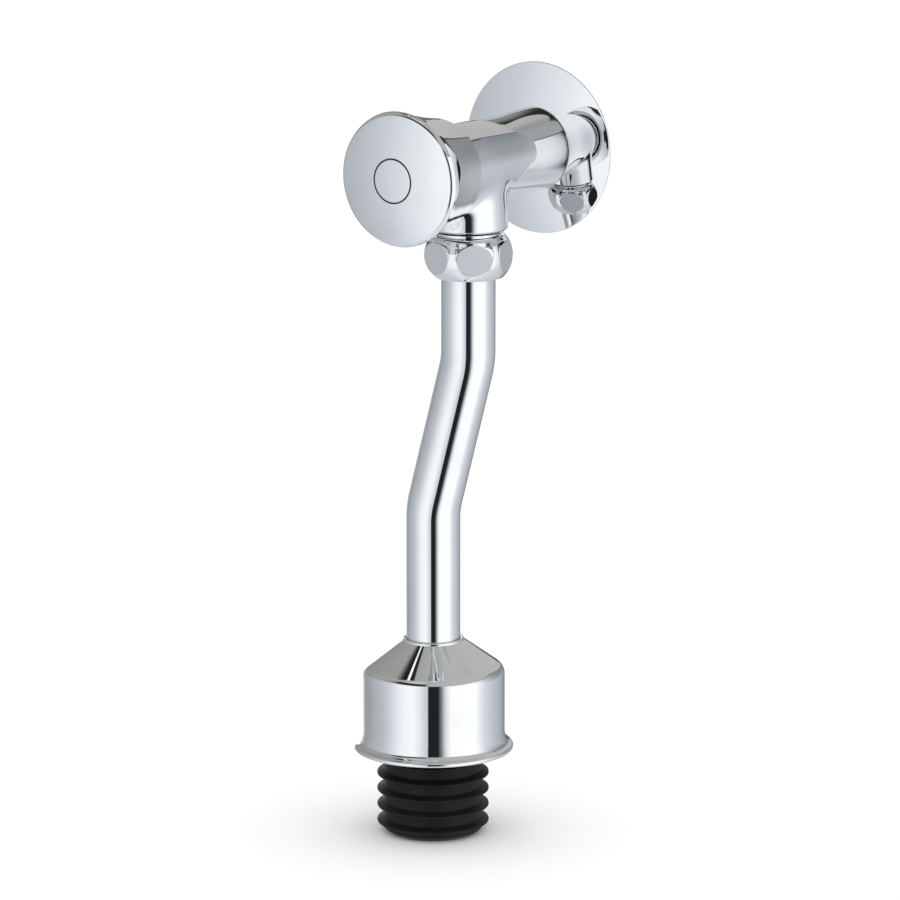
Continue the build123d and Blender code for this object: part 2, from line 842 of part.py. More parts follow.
nut_bore_r = neck_thread_r + nut_thread_gap
with BuildPart() as union_nut:
    with BuildSketch(outlet_plane):
        with BuildLine():
            barrel = ThreePointArc(
                (nut_top_r, nut_top_z),
                (nut_barrel_r, (nut_top_z + nut_bottom_z) / 2),
                (nut_bottom_r, nut_bottom_z),
            )
            Polyline(
                barrel @ 1,
                (tube_hole_r, nut_bottom_z),
                (tube_hole_r, nut_lip_z),
                (nut_bore_r, nut_lip_z),
                (nut_bore_r, nut_top_z),
                barrel @ 0,
            )
        make_face()
    revolve(axis=outlet_axis)
    with BuildSketch(Plane.XY.offset(nut_bottom_z)):
        with Locations((0, -reach)):
            Circle(nut_barrel_r + cut_past)
            RegularPolygon(
                nut_flats / 2,
                6,
                major_radius=False,
                rotation=nut_flat_heading,
                mode=Mode.SUBTRACT,
            )
    extrude(amount=nut_top_z - nut_bottom_z, mode=Mode.SUBTRACT)
union_nut.part.label = "union_nut"

# Flush tube: straight, S bend, straight, with a collar at its top
lower_bend_z = upper_bend_z - bend_drop
tube_end_z = lower_bend_z - lower_straight
with BuildPart() as outlet_tube:
    with BuildLine() as tube_line:
        FilletPolyline(
            (0, -reach, collar_top_z),
            (0, -reach, upper_bend_z),
            (spud_x, spud_y, lower_bend_z),
            (spud_x, spud_y, tube_end_z),
            radius=bend_r,
        )
    with BuildSketch(Plane.XY.offset(collar_top_z)):
        with Locations((0, -reach)):
            Circle(tube_r)
            Circle(tube_r - tube_wall, mode=Mode.SUBTRACT)
    sweep(path=tube_line.line)
    add(upright_ring(tube_r - tube_wall / 2, tube_collar_r, collar_top_z, collar_bottom_z))
    revolve(axis=outlet_axis)
outlet_tube.part.label = "outlet_tube"

# Rubber seal with ribs, pushed over the tube's end
seal_bottom_z = tube_end_z - seal_past_tube
seal_top_z = seal_bottom_z + seal_height
with BuildPart() as spud_seal:
    with BuildSketch(spud_plane):
        with BuildLine():
            ribs = []
            for rib in range(seal_ribs):
                rib_z = seal_top_z - seal_first_rib - rib * seal_rib_pitch
                ribs += [
                    (seal_body_r, rib_z + seal_rib_root / 2),
                    (seal_rib_r, rib_z + seal_rib_crest / 2),
                    (seal_rib_r, rib_z - seal_rib_crest / 2),
                    (seal_body_r, rib_z - seal_rib_root / 2),
                ]
            Polyline(
                (tube_r + seat_gap, seal_top_z),
                (seal_body_r - seal_edge, seal_top_z),
                (seal_body_r, seal_top_z - seal_edge),
                *ribs,
                (seal_body_r, seal_bottom_z + seal_edge),
                (seal_body_r - seal_edge, seal_bottom_z),
                (tube_r + seat_gap, seal_bottom_z),
                close=True,
            )
        make_face()
    revolve(axis=spud_axis)
spud_seal.part.label = "spud_seal"

# Bell cover: short collar, cone, round shoulder, straight wall and flared rim with a bead
bell_rim_z = seal_top_z - bell_over_seal
bell_top_z = bell_rim_z + bell_height
bell_flare_z = bell_rim_z + bell_flare
cone_top_z = bell_top_z - bell_collar
cone_slope = 1 / tan(radians(bell_cone_angle))
corner_z = cone_top_z - (bell_r - bell_lip_r) * cone_slope
inner_r = bell_r - bell_wall
inner_corner_z = corner_z + bell_wall * cone_slope - bell_wall / sin(radians(bell_cone_angle))
inner_cone_z = inner_corner_z + (inner_r - tube_hole_r) * cone_slope


def bead_point(angle):
    """Point on the rim's rolled edge: 0 is its widest place and -90 its lowest."""
    across = bell_bead_r * cos(radians(angle))
    up = bell_bead_r * sin(radians(angle))
    return (bell_rim_r - bell_bead_r + across, bell_rim_z + bell_bead_r + up)


with BuildPart() as bell_cover:
    with BuildSketch(spud_plane):
        with BuildLine():
            outer = FilletPolyline(
                (bell_lip_r, cone_top_z),
                (bell_r, corner_z),
                (bell_r, bell_flare_z),
                bead_point(bell_bead_top),
                radius=(bell_shoulder_r, bell_flare_blend),
            )
            inner = FilletPolyline(
                (tube_hole_r, inner_cone_z),
                (inner_r, inner_corner_z),
                (inner_r, bell_flare_z),
                bead_point(180),
                radius=(bell_shoulder_r - bell_wall, bell_flare_blend + bell_wall),
            )
            ThreePointArc(outer @ 1, bead_point(-45), inner @ 1)
            Polyline(
                inner @ 0,
                (tube_hole_r, bell_top_z),
                (bell_lip_r - bell_lip_edge, bell_top_z),
                (bell_lip_r, bell_top_z - bell_lip_edge),
                outer @ 0,
            )
        make_face()
    revolve(axis=spud_axis)
bell_cover.part.label = "bell_cover"

# Rubber ring under the bell's cone, which steadies the bell on the tube
with BuildPart() as cover_grip_ring:
    with BuildSketch(spud_plane):
        with BuildLine():
            grip_top_r = tube_hole_r + grip_ring_top
            grip_top_z = inner_cone_z - grip_ring_top * cone_slope - seat_gap
            grip_bottom_z = grip_top_z - grip_ring
            Polyline(
                (tube_r + running_gap, grip_top_z),
                (grip_top_r, grip_top_z),
                (grip_top_r + grip_ring / cone_slope, grip_bottom_z),
                (tube_r + running_gap, grip_bottom_z),
                close=True,
            )
        make_face()
    revolve(axis=spud_axis)
cover_grip_ring.part.label = "cover_grip_ring"

pieces = [
    wall_flange, inlet_nipple, inlet_strainer, valve_body, inlet_o_ring, seat_ring, valve_disc, disc_retainer,
    stem_nut, cartridge_sleeve, piston, piston_lip_seal, piston_clip, push_stem, return_spring, bonnet,
    bonnet_o_ring, stem_o_ring, guide_bush, metering_pin, button_cap, button_insert, button_screw,
    tube_washer, slip_ring, union_nut, outlet_tube, spud_seal, bell_cover, cover_grip_ring,
]
os.makedirs("parts", exist_ok=True)
for piece in pieces:
    export_step(piece.part, f"parts/{piece.part.label}.step")
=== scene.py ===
import json
from math import asin, atan2, cos, hypot, pi, radians, sin, sqrt, tan

import bpy
from mathutils import Matrix, Vector
from mathutils.geometry import interpolate_bezier


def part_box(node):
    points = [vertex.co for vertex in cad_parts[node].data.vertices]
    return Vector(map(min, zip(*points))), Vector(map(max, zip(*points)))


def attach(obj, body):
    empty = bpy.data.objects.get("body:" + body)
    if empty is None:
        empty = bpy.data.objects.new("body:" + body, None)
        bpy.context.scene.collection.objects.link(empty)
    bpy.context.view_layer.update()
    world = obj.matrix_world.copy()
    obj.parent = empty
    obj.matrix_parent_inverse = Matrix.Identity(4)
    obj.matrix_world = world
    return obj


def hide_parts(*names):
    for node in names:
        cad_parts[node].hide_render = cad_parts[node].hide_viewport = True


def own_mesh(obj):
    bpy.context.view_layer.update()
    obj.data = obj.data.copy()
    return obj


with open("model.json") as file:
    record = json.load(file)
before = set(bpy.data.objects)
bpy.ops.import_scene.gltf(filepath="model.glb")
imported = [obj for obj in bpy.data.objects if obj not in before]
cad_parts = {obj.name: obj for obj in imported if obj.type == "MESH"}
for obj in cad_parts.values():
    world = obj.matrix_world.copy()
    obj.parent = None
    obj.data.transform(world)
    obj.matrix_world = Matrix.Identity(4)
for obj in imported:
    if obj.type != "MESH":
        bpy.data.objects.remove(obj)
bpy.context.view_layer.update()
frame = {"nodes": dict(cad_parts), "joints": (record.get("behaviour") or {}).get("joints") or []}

# Urinal flush valve in bright chrome. Sizes are in millimetres, mm turns them into metres.
mm = 0.001


# where things are, read from the frame
def nodeBox(node):
    low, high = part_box(node)
    return low / mm, high / mm


bodyLow, bodyHigh = nodeBox("valve_body")
nutLow, nutHigh = nodeBox("union_nut")
sealLow, sealHigh = nodeBox("spud_seal")
bellLow, bellHigh = nodeBox("bell_cover")
flangeRadius = nodeBox("wall_flange")[1].x
capBack = nodeBox("button_cap")[1].y
buttonApex = nodeBox("button_insert")[0].y
tubeLow, tubeHigh = nodeBox("outlet_tube")

alongInlet = {"origin": Vector((0, 0, 0)), "along": Vector((0, 1, 0))}
outletY = (nutLow.y + nutHigh.y) / 2
alongOutlet = {"origin": Vector((0, outletY, 0)), "along": Vector((0, 0, 1))}
spudX = (sealLow.x + sealHigh.x) / 2
spudY = (sealLow.y + sealHigh.y) / 2
alongSpud = {"origin": Vector((spudX, spudY, 0)), "along": Vector((0, 0, 1))}


# camera, as the photograph was taken
camera = {
    "azimuth": 34.849,
    "elevation": 12.396,
    "distance": 1790.3,
    "lens": 208.0,
    "sensor": 36.0,
    "farthest": 30000.0,
    "sideways": -6.094,
    "aimHeight": -99.7,
}


def addCamera():
    turn = radians(camera["azimuth"])
    rise = radians(camera["elevation"])
    back = Vector((sin(turn) * cos(rise), -cos(turn) * cos(rise), sin(rise)))
    right = Vector((cos(turn), sin(turn), 0))
    up = back.cross(right)
    aim = right * camera["sideways"] + Vector((0, outletY, camera["aimHeight"]))
    data = bpy.data.cameras.new("camera")
    data.lens = camera["lens"]
    data.sensor_width = camera["sensor"]
    data.clip_end = camera["farthest"] * mm
    eye = bpy.data.objects.new("camera", data)
    bpy.context.scene.collection.objects.link(eye)
    turned = Matrix((right, up, back)).transposed().to_4x4()
    eye.matrix_world = Matrix.Translation((aim + back * camera["distance"]) * mm) @ turned
    bpy.context.scene.camera = eye


# shader maths: a wrapped socket that can be used like a number
class Wire:
    def __init__(self, tree, socket=None):
        self.tree = tree
        self.socket = socket

    def node(self, kind, settings=None, values=None, output=0):
        made = self.tree.nodes.new(kind)
        for key, value in (settings or {}).items():
            if key == "stops":
                ramp = made.color_ramp
                while len(ramp.elements) < len(value):
                    ramp.elements.new(1.0)
                for element, (position, colour) in zip(ramp.elements, value):
                    element.position = position
                    element.color = colour
            else:
                setattr(made, key, value)
        for key, value in (values or {}).items():
            if isinstance(value, Wire):
                self.tree.links.new(value.socket, made.inputs[key])
            else:
                made.inputs[key].default_value = value
        return Wire(self.tree, made.outputs[output])

    def maths(self, operation, *values):
        return self.node("ShaderNodeMath", {"operation": operation}, dict(enumerate(values)))

    def __add__(self, other):
        return self.maths("ADD", self, other)

    def __sub__(self, other):
        return self.maths("SUBTRACT", self, other)

    def __rsub__(self, other):
        return self.maths("SUBTRACT", other, self)

    def __mul__(self, other):
        return self.maths("MULTIPLY", self, other)

    def __truediv__(self, other):
        return self.maths("DIVIDE", self, other)

    __radd__ = __add__
    __rmul__ = __mul__

    def fade(self, start, end):
        # 0 at start, 1 at end, smooth between
        settings = {"interpolation_type": "SMOOTHSTEP"}
        values = {"Value": self, "From Min": start, "From Max": end}
        return self.node("ShaderNodeMapRange", settings, values)

    def window(self, ends):
        # 1 between the two middle ends, 0 outside the outer ones
        start, full, still, stop = ends
        return self.fade(start, full) * self.fade(stop, still)

    def between(self, low, high):
        # colour that runs from low to high as this value runs from 0 to 1
        return self.node("ShaderNodeMix", {"data_type": "RGBA"}, {0: self, 6: low, 7: high}, 2)


def rgb(red, green, blue):
    return (red, green, blue, 1.0)


def grey(level):
    return (level, level, level, 1.0)


# the studio: how bright what the chrome mirrors is at each bearing from the camera, to the right positive
studio = {
    "walls": {
        -180: 1.25, -155: 1.22, -148: 0.72, -140: 0.42, -128: 0.42, -110: 0.53, -90: 0.62, -75: 0.76,
        -60: 0.98, -48: 1.12, -32: 1.18, -22: 1.04, -15: 0.86, -8.3: 0.74, -7.3: 0.02, 8.5: 0.02, 9.5: 0.07,
        12: 0.16, 15: 0.38, 18: 0.68, 22: 0.98, 29: 1.22, 72: 1.25, 82: 1.04, 92: 0.86, 110: 0.69,
        135: 0.53, 158: 0.34, 170: 0.15, 180: 0.12,
    },
    # where the upper walls differ: None leaves a bearing out
    "upperWalls": {
        -148: 0.62, -140: 0.40, 92: 0.80, 105: 0.58, 110: None, 118: 0.42, 135: 0.32, 158: None, 170: None,
        180: 0.28,
    },
    "upperEnds": (-8.0, 12.0),
    "lowWalls": {
        -180: 0.90, -140: 0.70, -90: 0.74, -40: 0.98, 0: 0.80, 40: 1.05, 90: 0.86, 140: 0.70, 180: 0.80,
    },
    "lowEnds": (-28.0, -44.0),
    "tint": (0.93, 0.98, 1.03),
    "neutralFrom": 1.2,
    "tintSpan": 0.3,
    "soffit": {
        -180: 0.34, -150: 0.34, -120: 0.42, -95: 0.42, -80: 0.34, -70: 0.08, -62: 0.03, -24: 0.03,
        -14: 0.10, -9: 0.50, 15: 0.54, 110: 0.56, 180: 0.56,
    },
    "ceiling": {
        -180: 0.34, -150: 0.34, -120: 0.42, -92: 0.44, -75: 0.50, -58: 0.66, -35: 0.62, -12: 0.47, 15: 0.54,
        110: 0.56, 150: 0.50, 180: 0.34,
    },
    "soffitEnds": (52.0, 53.5),
    "ceilingTint": (1.0, 0.99, 0.975),
    # height in degrees at which the ceiling starts
    "edge": {
        -180: 20, -156: 16, -145: 8.5, -122: 18, -95: 26, -70: 32, 98: 32, 115: 36, 136: 35, 144: 26,
        153: 15, 165: 3, 179: 3, 180: 20,
    },
    "edgeSpan": 90,
    "edgeLine": 1.4,
    "edgeSoft": 0.3,
    "edgeLevel": 0.12,
    "hatchBearings": (-142, -132, -108, -98),
    "hatchHeights": (56.0, 65.0, 73.6, 74.4),
    "slitHeights": (67.8, 68.3, 70.0, 70.5),
    "hatchLevel": 0.02,
    "slitLevel": 1.2,
    "overheadEnds": (72.0, 88.0),
    "overhead": 0.5,
    "brightest": 1.3,
    "plainLevel": 1.1,
}


def addWorld():
    world = bpy.data.worlds.new("studio")
    bpy.context.scene.world = world
    world.use_nodes = True
    tree = world.node_tree
    tree.nodes.clear()
    wire = Wire(tree)
    direction = tree.nodes.new("ShaderNodeTexCoord")
    split = tree.nodes.new("ShaderNodeSeparateXYZ")
    tree.links.new(direction.outputs["Generated"], split.inputs[0])
    x, y, z = (Wire(tree, socket) for socket in split.outputs)
    turn = radians(camera["azimuth"])
    across = x * cos(turn) + y * sin(turn)
    towards = x * sin(turn) - y * cos(turn)
    bearing = wire.maths("ARCTAN2", across, towards) / (2 * pi) + 0.5        # 0 to 1 all round
    height = wire.maths("ARCSINE", z) * (180 / pi)
    brightest = studio["brightest"]

    def tone(name):
        return grey(studio[name] / brightest)

    def ramp(stops):
        placed = [(angle / 360 + 0.5, colour) for angle, colour in stops]
        return wire.node("ShaderNodeValToRGB", {"stops": placed}, {0: bearing})

    def allRound(levels, tint):
        # the tint fades out towards the brightest levels
        stops = []
        for angle, level in sorted(levels.items()):
            if level is not None:
                share = min(max((studio["neutralFrom"] - level) / studio["tintSpan"], 0), 1)
                stops.append((angle, rgb(*[level / brightest * (1 - share * (1 - part)) for part in tint])))
        return ramp(stops)

    def backdrop(colour, strength):
        return wire.node("ShaderNodeBackground", None, {"Color": colour, "Strength": strength})

    walls = allRound(studio["walls"], studio["tint"])
    upperWalls = allRound({**studio["walls"], **studio["upperWalls"]}, studio["tint"])
    walls = height.fade(*studio["upperEnds"]).between(walls, upperWalls)
    lowWalls = allRound(studio["lowWalls"], studio["tint"])
    walls = height.fade(*studio["lowEnds"]).between(walls, lowWalls)
    soffit = allRound(studio["soffit"], studio["ceilingTint"])
    ceiling = allRound(studio["ceiling"], studio["ceilingTint"])
    ceiling = height.fade(*studio["soffitEnds"]).between(soffit, ceiling)
    hatch = ((bearing - 0.5) * 360).window(studio["hatchBearings"]) * height.window(studio["hatchHeights"])
    opening = height.window(studio["slitHeights"]).between(tone("hatchLevel"), tone("slitLevel"))
    ceiling = hatch.between(ceiling, opening)
    overhead = height.fade(*studio["overheadEnds"])
    ceiling = overhead.between(ceiling, tone("overhead"))
    span = studio["edgeSpan"]
    over = height - ramp([(angle, grey(level / span)) for angle, level in studio["edge"].items()]) * span
    line = studio["edgeLine"]
    soft = studio["edgeSoft"]
    walls = over.fade(-line - soft, -line).between(walls, tone("edgeLevel"))
    room = over.fade(0.0, soft).between(walls, ceiling)
    path = tree.nodes.new("ShaderNodeLightPath")
    rays = ("Is Camera Ray", "Is Glossy Ray", "Is Transmission Ray")
    seen, glossy, through = (Wire(tree, path.outputs[ray]) for ray in rays)
    lit = wire.node("ShaderNodeMixShader", None, {
        0: wire.maths("MAXIMUM", glossy, through),
        1: backdrop(grey(1), studio["plainLevel"]),
        2: backdrop(room, brightest),
    })
    shown = wire.node("ShaderNodeMixShader", None, {0: seen, 1: lit, 2: backdrop(grey(1), 1.0)})
    output = tree.nodes.new("ShaderNodeOutputWorld")
    tree.links.new(shown.socket, output.inputs["Surface"])


floorValues = {"halfSize": 6.0, "below": 0.4, "colour": rgb(0.98, 0.98, 0.98), "roughness": 0.9}


def addFloor():
    bpy.ops.object.select_all(action="DESELECT")
    level = (sealLow.z - floorValues["below"]) * mm
    bpy.ops.mesh.primitive_plane_add(size=2 * floorValues["halfSize"], location=(0, 0, level))
    floor = bpy.context.active_object
    floor.name = "floor"
    floor.data.materials.append(plainFinish("floorPaper", {
        "Base Color": floorValues["colour"],
        "Roughness": floorValues["roughness"],
        "Specular IOR Level": 0.0,
    }))
    floor.visible_glossy = False


# finishes: each returns a material whose pattern lies in object coordinates
def plainFinish(name, constants):
    material = bpy.data.materials.new(name)
    material.use_nodes = True
    for key, value in constants.items():
        material.node_tree.nodes["Principled BSDF"].inputs[key].default_value = value
    return material


def newFinish(name, constants):
    material = plainFinish(name, constants)
    coords = material.node_tree.nodes.new("ShaderNodeTexCoord")
    return material, Wire(material.node_tree, coords.outputs["Object"])


def finished(material, colour, roughness, normal):
    surface = material.node_tree.nodes["Principled BSDF"]
    for key, wire in (("Base Color", colour), ("Roughness", roughness), ("Normal", normal)):
        wire.tree.links.new(wire.socket, surface.inputs[key])
    return material


def noise(place, scale, detail, roughness=0.5):
    values = {"Vector": place, "Scale": scale, "Detail": detail, "Roughness": roughness}
    return place.node("ShaderNodeTexNoise", None, values)


def stretched(place, scale):
    return place.node("ShaderNodeMapping", None, {"Vector": place, "Scale": scale})


def bump(place, height, strength, distance):
    values = {"Height": height, "Strength": strength, "Distance": distance * mm}
    return place.node("ShaderNodeBump", None, values)


chromeValues = {
    "bright": rgb(0.80, 0.812, 0.822),
    "dull": rgb(0.765, 0.775, 0.785),
    "roughness": 0.012,
    "haze": 0.014,
    "cloudScale": 45.0,
    "cloudEnds": (0.45, 0.72),
    "wipe": 0.008,
    "wipeScale": 1400.0,
    "wipeStretch": (1.0, 1.0, 0.12),
    "wipeEnds": (0.58, 0.74),
    "peel": 0.35,
    "peelScale": 420.0,
    "peelDepth": 0.0012,
    # painted shade: the dark tone that the groove's colour turns to
    "shadowed": rgb(0.09, 0.09, 0.092),
    "grooveEdge": 0.09,
}


def chromeFinish(name, haze=1.0, groove=None):
    # polished plate: faint clouds of haze, fine wipe marks and the slight orange peel of the plating;
    # a groove about the inlet's axis, given as two radii, gets painted shade: its colour turns dark as if
    # no light reached into it
    values = chromeValues
    material, place = newFinish(name, {"Metallic": 1.0})
    clouds = noise(place, values["cloudScale"], 4.0).fade(*values["cloudEnds"])
    wipes = noise(stretched(place, values["wipeStretch"]), values["wipeScale"], 2.0)
    wipes = wipes.fade(*values["wipeEnds"])
    peel = noise(place, values["peelScale"], 1.0)
    colour = clouds.between(values["bright"], values["dull"])
    if groove:
        flat = place.node("ShaderNodeVectorMath", {"operation": "MULTIPLY"}, {0: place, 1: (1, 0, 1)})
        radius = place.node("ShaderNodeVectorMath", {"operation": "LENGTH"}, {0: flat}, 1) * (1 / mm)
        ends = [end + side * values["grooveEdge"] for end in groove for side in (-1, 1)]
        # painted shade: between the groove's radii the colour is turned to the dark shadowed tone
        colour = radius.window(ends).between(colour, values["shadowed"])
    rough = clouds * (values["haze"] * haze) + wipes * values["wipe"] + values["roughness"]
    return finished(material, colour, rough, bump(place, peel, values["peel"], values["peelDepth"]))


metalValues = {
    "brass": (rgb(0.83, 0.62, 0.33), rgb(0.58, 0.40, 0.18)),
    "steel": (rgb(0.66, 0.655, 0.64), rgb(0.45, 0.445, 0.43)),
    "ringScale": 2600.0,
    "ringStretch": 0.15,
    "ringRough": 0.12,
    "ringBump": (0.4, 0.01),
    "stainScale": 160.0,
    "stainEnds": (0.4, 0.75),
    "stainRough": 0.10,
}


def turnedFinish(name, metal, axis, roughness):
    # lathe-turned metal: fine rings across the axis, stains in clouds
    values = metalValues
    material, place = newFinish(name, {"Metallic": 1.0})
    squeeze = tuple(1.0 if part else values["ringStretch"] for part in axis["along"])
    rings = noise(stretched(place, squeeze), values["ringScale"], 2.0)
    stains = noise(place, values["stainScale"], 5.0, 0.6)
    colour = stains.fade(*values["stainEnds"]).between(*values[metal])
    rough = rings * values["ringRough"] + stains * values["stainRough"] + roughness
    return finished(material, colour, rough, bump(place, rings, *values["ringBump"]))


# moulded and pressed stuff: a grain, and a second tone in soft clouds or along the grain
rubberValues = {
    "tones": (rgb(0.008, 0.008, 0.0085), rgb(0.014, 0.014, 0.015)),
    "specular": 0.17,
    "cloud": (70.0, 5.0, 0.6),
    "cloudEnds": (0.42, 0.78),
    "cloudRough": 0.12,
    "grain": (2600.0, 2.0),
    "grainRough": 0.08,
    "grainBump": (0.25, 0.02),
}
plasticValues = {
    "tones": (rgb(0.84, 0.84, 0.81), rgb(0.78, 0.775, 0.74)),
    "specular": 0.5,
    "cloud": (60.0, 3.0),
    "cloudEnds": (0.3, 0.8),
    "cloudRough": 0.0,
    "grain": (1500.0, 2.0),
    "grainRough": 0.1,
    "grainBump": (0.2, 0.01),
}
fibreValues = {
    "tones": (rgb(0.36, 0.10, 0.07), rgb(0.24, 0.06, 0.045)),
    "specular": 0.3,
    "stretch": (1.0, 0.3, 1.0),
    "cloud": (2200.0, 6.0, 0.7),
    "cloudEnds": (0.3, 0.7),
    "cloudRough": 0.0,
    "grain": (2200.0, 6.0, 0.7),
    "grainRough": 0.2,
    "grainBump": (0.5, 0.03),
}


def mouldedFinish(name, values, roughness, share=1.0):
    # share says how much of the second tone shows
    material, place = newFinish(name, {"Specular IOR Level": values["specular"]})
    if "stretch" in values:
        place = stretched(place, values["stretch"])
    clouds = noise(place, *values["cloud"]).fade(*values["cloudEnds"]) * share
    grain = noise(place, *values["grain"])
    colour = clouds.between(*values["tones"])
    rough = clouds * values["cloudRough"] + grain * values["grainRough"] + roughness
    return finished(material, colour, rough, bump(place, grain, *values["grainBump"]))


# lines for turning: points are (radius, height) in millimetres
def evenly(start, end, steps):
    return [start + (end - start) * step / steps for step in range(steps + 1)]


def rounded(points, steps=5):
    # a corner that carries a third number is rounded to that radius, in as many steps as a fourth says
    line = []
    for index, point in enumerate(points):
        corner = Vector(point[:2])
        if len(point) < 3:
            line.append(tuple(corner))
            continue
        radius = point[2]
        before = (Vector(points[index - 1][:2]) - corner).normalized()
        after = (Vector(points[(index + 1) % len(points)][:2]) - corner).normalized()
        half = before.angle(after) / 2
        centre = corner + (before + after).normalized() * (radius / sin(half))
        start = corner + before * (radius / tan(half)) - centre
        end = corner + after * (radius / tan(half)) - centre
        first = atan2(start.y, start.x)
        sweep = (atan2(end.y, end.x) - first + pi) % (2 * pi) - pi
        for angle in evenly(first, first + sweep, point[3] if len(point) > 3 else steps):
            line.append((centre.x + radius * cos(angle), centre.y + radius * sin(angle)))
    return line


def bowed(start, middle, end, steps):
    # arc through three points, both ends included
    (x1, y1), (x2, y2), (x3, y3) = start, middle, end
    fold = 2 * (x1 * (y2 - y3) + x2 * (y3 - y1) + x3 * (y1 - y2))
    squares = [x * x + y * y for x, y in (start, middle, end)]
    cx = (squares[0] * (y2 - y3) + squares[1] * (y3 - y1) + squares[2] * (y1 - y2)) / fold
    cy = (squares[0] * (x3 - x2) + squares[1] * (x1 - x3) + squares[2] * (x2 - x1)) / fold
    radius = hypot(x1 - cx, y1 - cy)
    first = atan2(y1 - cy, x1 - cx)
    halfway = (atan2(y2 - cy, x2 - cx) - first + pi) % (2 * pi) - pi
    rest = (atan2(y3 - cy, x3 - cx) - first - halfway + pi) % (2 * pi) - pi
    angles = evenly(first, first + halfway + rest, steps)
    return [(cx + radius * cos(angle), cy + radius * sin(angle)) for angle in angles]


def flowing(points, startSlope, endSlope, steps):
    # smooth curve through the points, with the given directions at its ends
    knots = [Vector((r, h, 0)) for r, h in points]
    slopes = [Vector((*startSlope, 0)).normalized()]
    slopes += [(knots[i + 1] - knots[i - 1]).normalized() for i in range(1, len(knots) - 1)]
    slopes += [Vector((*endSlope, 0)).normalized()]
    line = []
    for i, (knot, following) in enumerate(zip(knots, knots[1:])):
        third = (following - knot).length / 3
        handles = (knot + slopes[i] * third, following - slopes[i + 1] * third)
        line += [(p.x, p.y) for p in interpolate_bezier(knot, *handles, following, steps + 1)[:-1]]
    return line + [points[-1]]


# modelling steps that the pieces share
weld = 0.002


def editOn():
    bpy.ops.object.mode_set(mode="EDIT")


def editOff():
    bpy.ops.object.mode_set(mode="OBJECT")


def newest(name):
    # the piece that was just added, under its name
    piece = bpy.context.active_object
    piece.name = name
    piece.data.name = name
    return piece


def drawLine(name, places):
    # edges from place to place, left in edit mode
    bpy.ops.object.select_all(action="DESELECT")
    bpy.ops.mesh.primitive_plane_add(size=mm, location=(0, 0, 0))
    piece = newest(name)
    editOn()
    bpy.ops.mesh.select_mode(type="VERT")
    bpy.ops.mesh.select_all(action="SELECT")
    bpy.ops.mesh.merge(type="CENTER")
    bpy.ops.transform.translate(value=places[0])
    for before, after in zip(places, places[1:]):
        bpy.ops.mesh.extrude_vertices_move(TRANSFORM_OT_translate={"value": after - before})
    return piece


def closeMesh():
    # joins doubles, turns the faces outwards and leaves edit mode
    bpy.ops.mesh.select_all(action="SELECT")
    bpy.ops.mesh.remove_doubles(threshold=weld * mm)
    bpy.ops.mesh.select_all(action="SELECT")
    bpy.ops.mesh.normals_make_consistent(inside=False)
    editOff()


def spun(name, line, axis, steps, closed=True):
    # turns a line about an axis; a closed line comes back to its first point
    out = Vector((1, 0, 0))
    places = [(axis["origin"] + out * radius + axis["along"] * height) * mm for radius, height in line]
    piece = drawLine(name, places + places[:1] if closed else places)
    bpy.ops.mesh.select_all(action="SELECT")
    bpy.ops.mesh.spin(steps=steps, angle=2 * pi, center=axis["origin"] * mm, axis=axis["along"])
    closeMesh()
    return piece


def removeFaces(piece, test):
    # takes away the faces whose middle, in millimetres, passes the test, and stays in edit mode
    editOn()
    bpy.ops.mesh.select_mode(type="FACE")
    bpy.ops.mesh.select_all(action="DESELECT")
    editOff()
    for face in piece.data.polygons:
        face.select = test(face.center / mm)
    editOn()
    bpy.ops.mesh.delete(type="FACE")


def reshape(piece, test, move):
    # moves the vertices whose place, in millimetres, passes the test
    for vertex in piece.data.vertices:
        place = vertex.co / mm
        if test(place):
            vertex.co = move(place) * mm


def chooseOpenEdges():
    # selects the borders of all holes in the mesh
    bpy.ops.mesh.select_mode(type="EDGE")
    bpy.ops.mesh.select_non_manifold(
        extend=False, use_wire=True, use_boundary=True, use_multi_face=False, use_non_contiguous=False,
        use_verts=False,
    )


def activate(piece):
    bpy.ops.object.select_all(action="DESELECT")
    piece.select_set(True)
    bpy.context.view_layer.objects.active = piece


def applied(piece, kind, **settings):
    activate(piece)
    modifier = piece.modifiers.new(kind.lower(), kind)
    for key, value in settings.items():
        setattr(modifier, key, value)
    bpy.ops.object.modifier_apply(modifier=modifier.name)


def cut(piece, cutter):
    applied(piece, "BOOLEAN", object=cutter, operation="DIFFERENCE", solver="EXACT")
    bpy.data.objects.remove(cutter)


def dress(piece, material, body, node, smooth=32, even=True):
    activate(piece)
    bpy.ops.object.shade_smooth_by_angle(angle=radians(smooth))
    if even:
        applied(piece, "WEIGHTED_NORMAL", keep_sharp=True, weight=80)
    piece.data.materials.clear()
    piece.data.materials.append(material)
    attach(piece, body)
    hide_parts(node)


# what both cut threads share: how far the cutter stands out, and its steps in a turn
cutterValues = {"spare": 0.25, "around": 96}


def threadCutter(name, values, turns):
    # a V groove wound about Z from height 0, closed at both ends
    pitch = values["threadPitch"]
    major = values["thread"]
    root = major - values["threadDepth"]
    mouth = (pitch - values["threadCrest"]) / 2
    line = [(major + cutterValues["spare"], -mouth), (major, -mouth), (root, -pitch / 20)]
    line += [(r, -h) for r, h in reversed(line)]
    cutter = drawLine(name, [Vector((r, 0, h)) * mm for r, h in line + line[:1]])
    closeMesh()
    around = cutterValues["around"]
    applied(
        cutter, "SCREW", steps=around, render_steps=around, iterations=turns, screw_offset=pitch * mm,
        use_merge_vertices=True,
    )
    editOn()
    bpy.ops.mesh.select_all(action="SELECT")
    bpy.ops.mesh.fill_holes(sides=8)
    closeMesh()
    return cutter


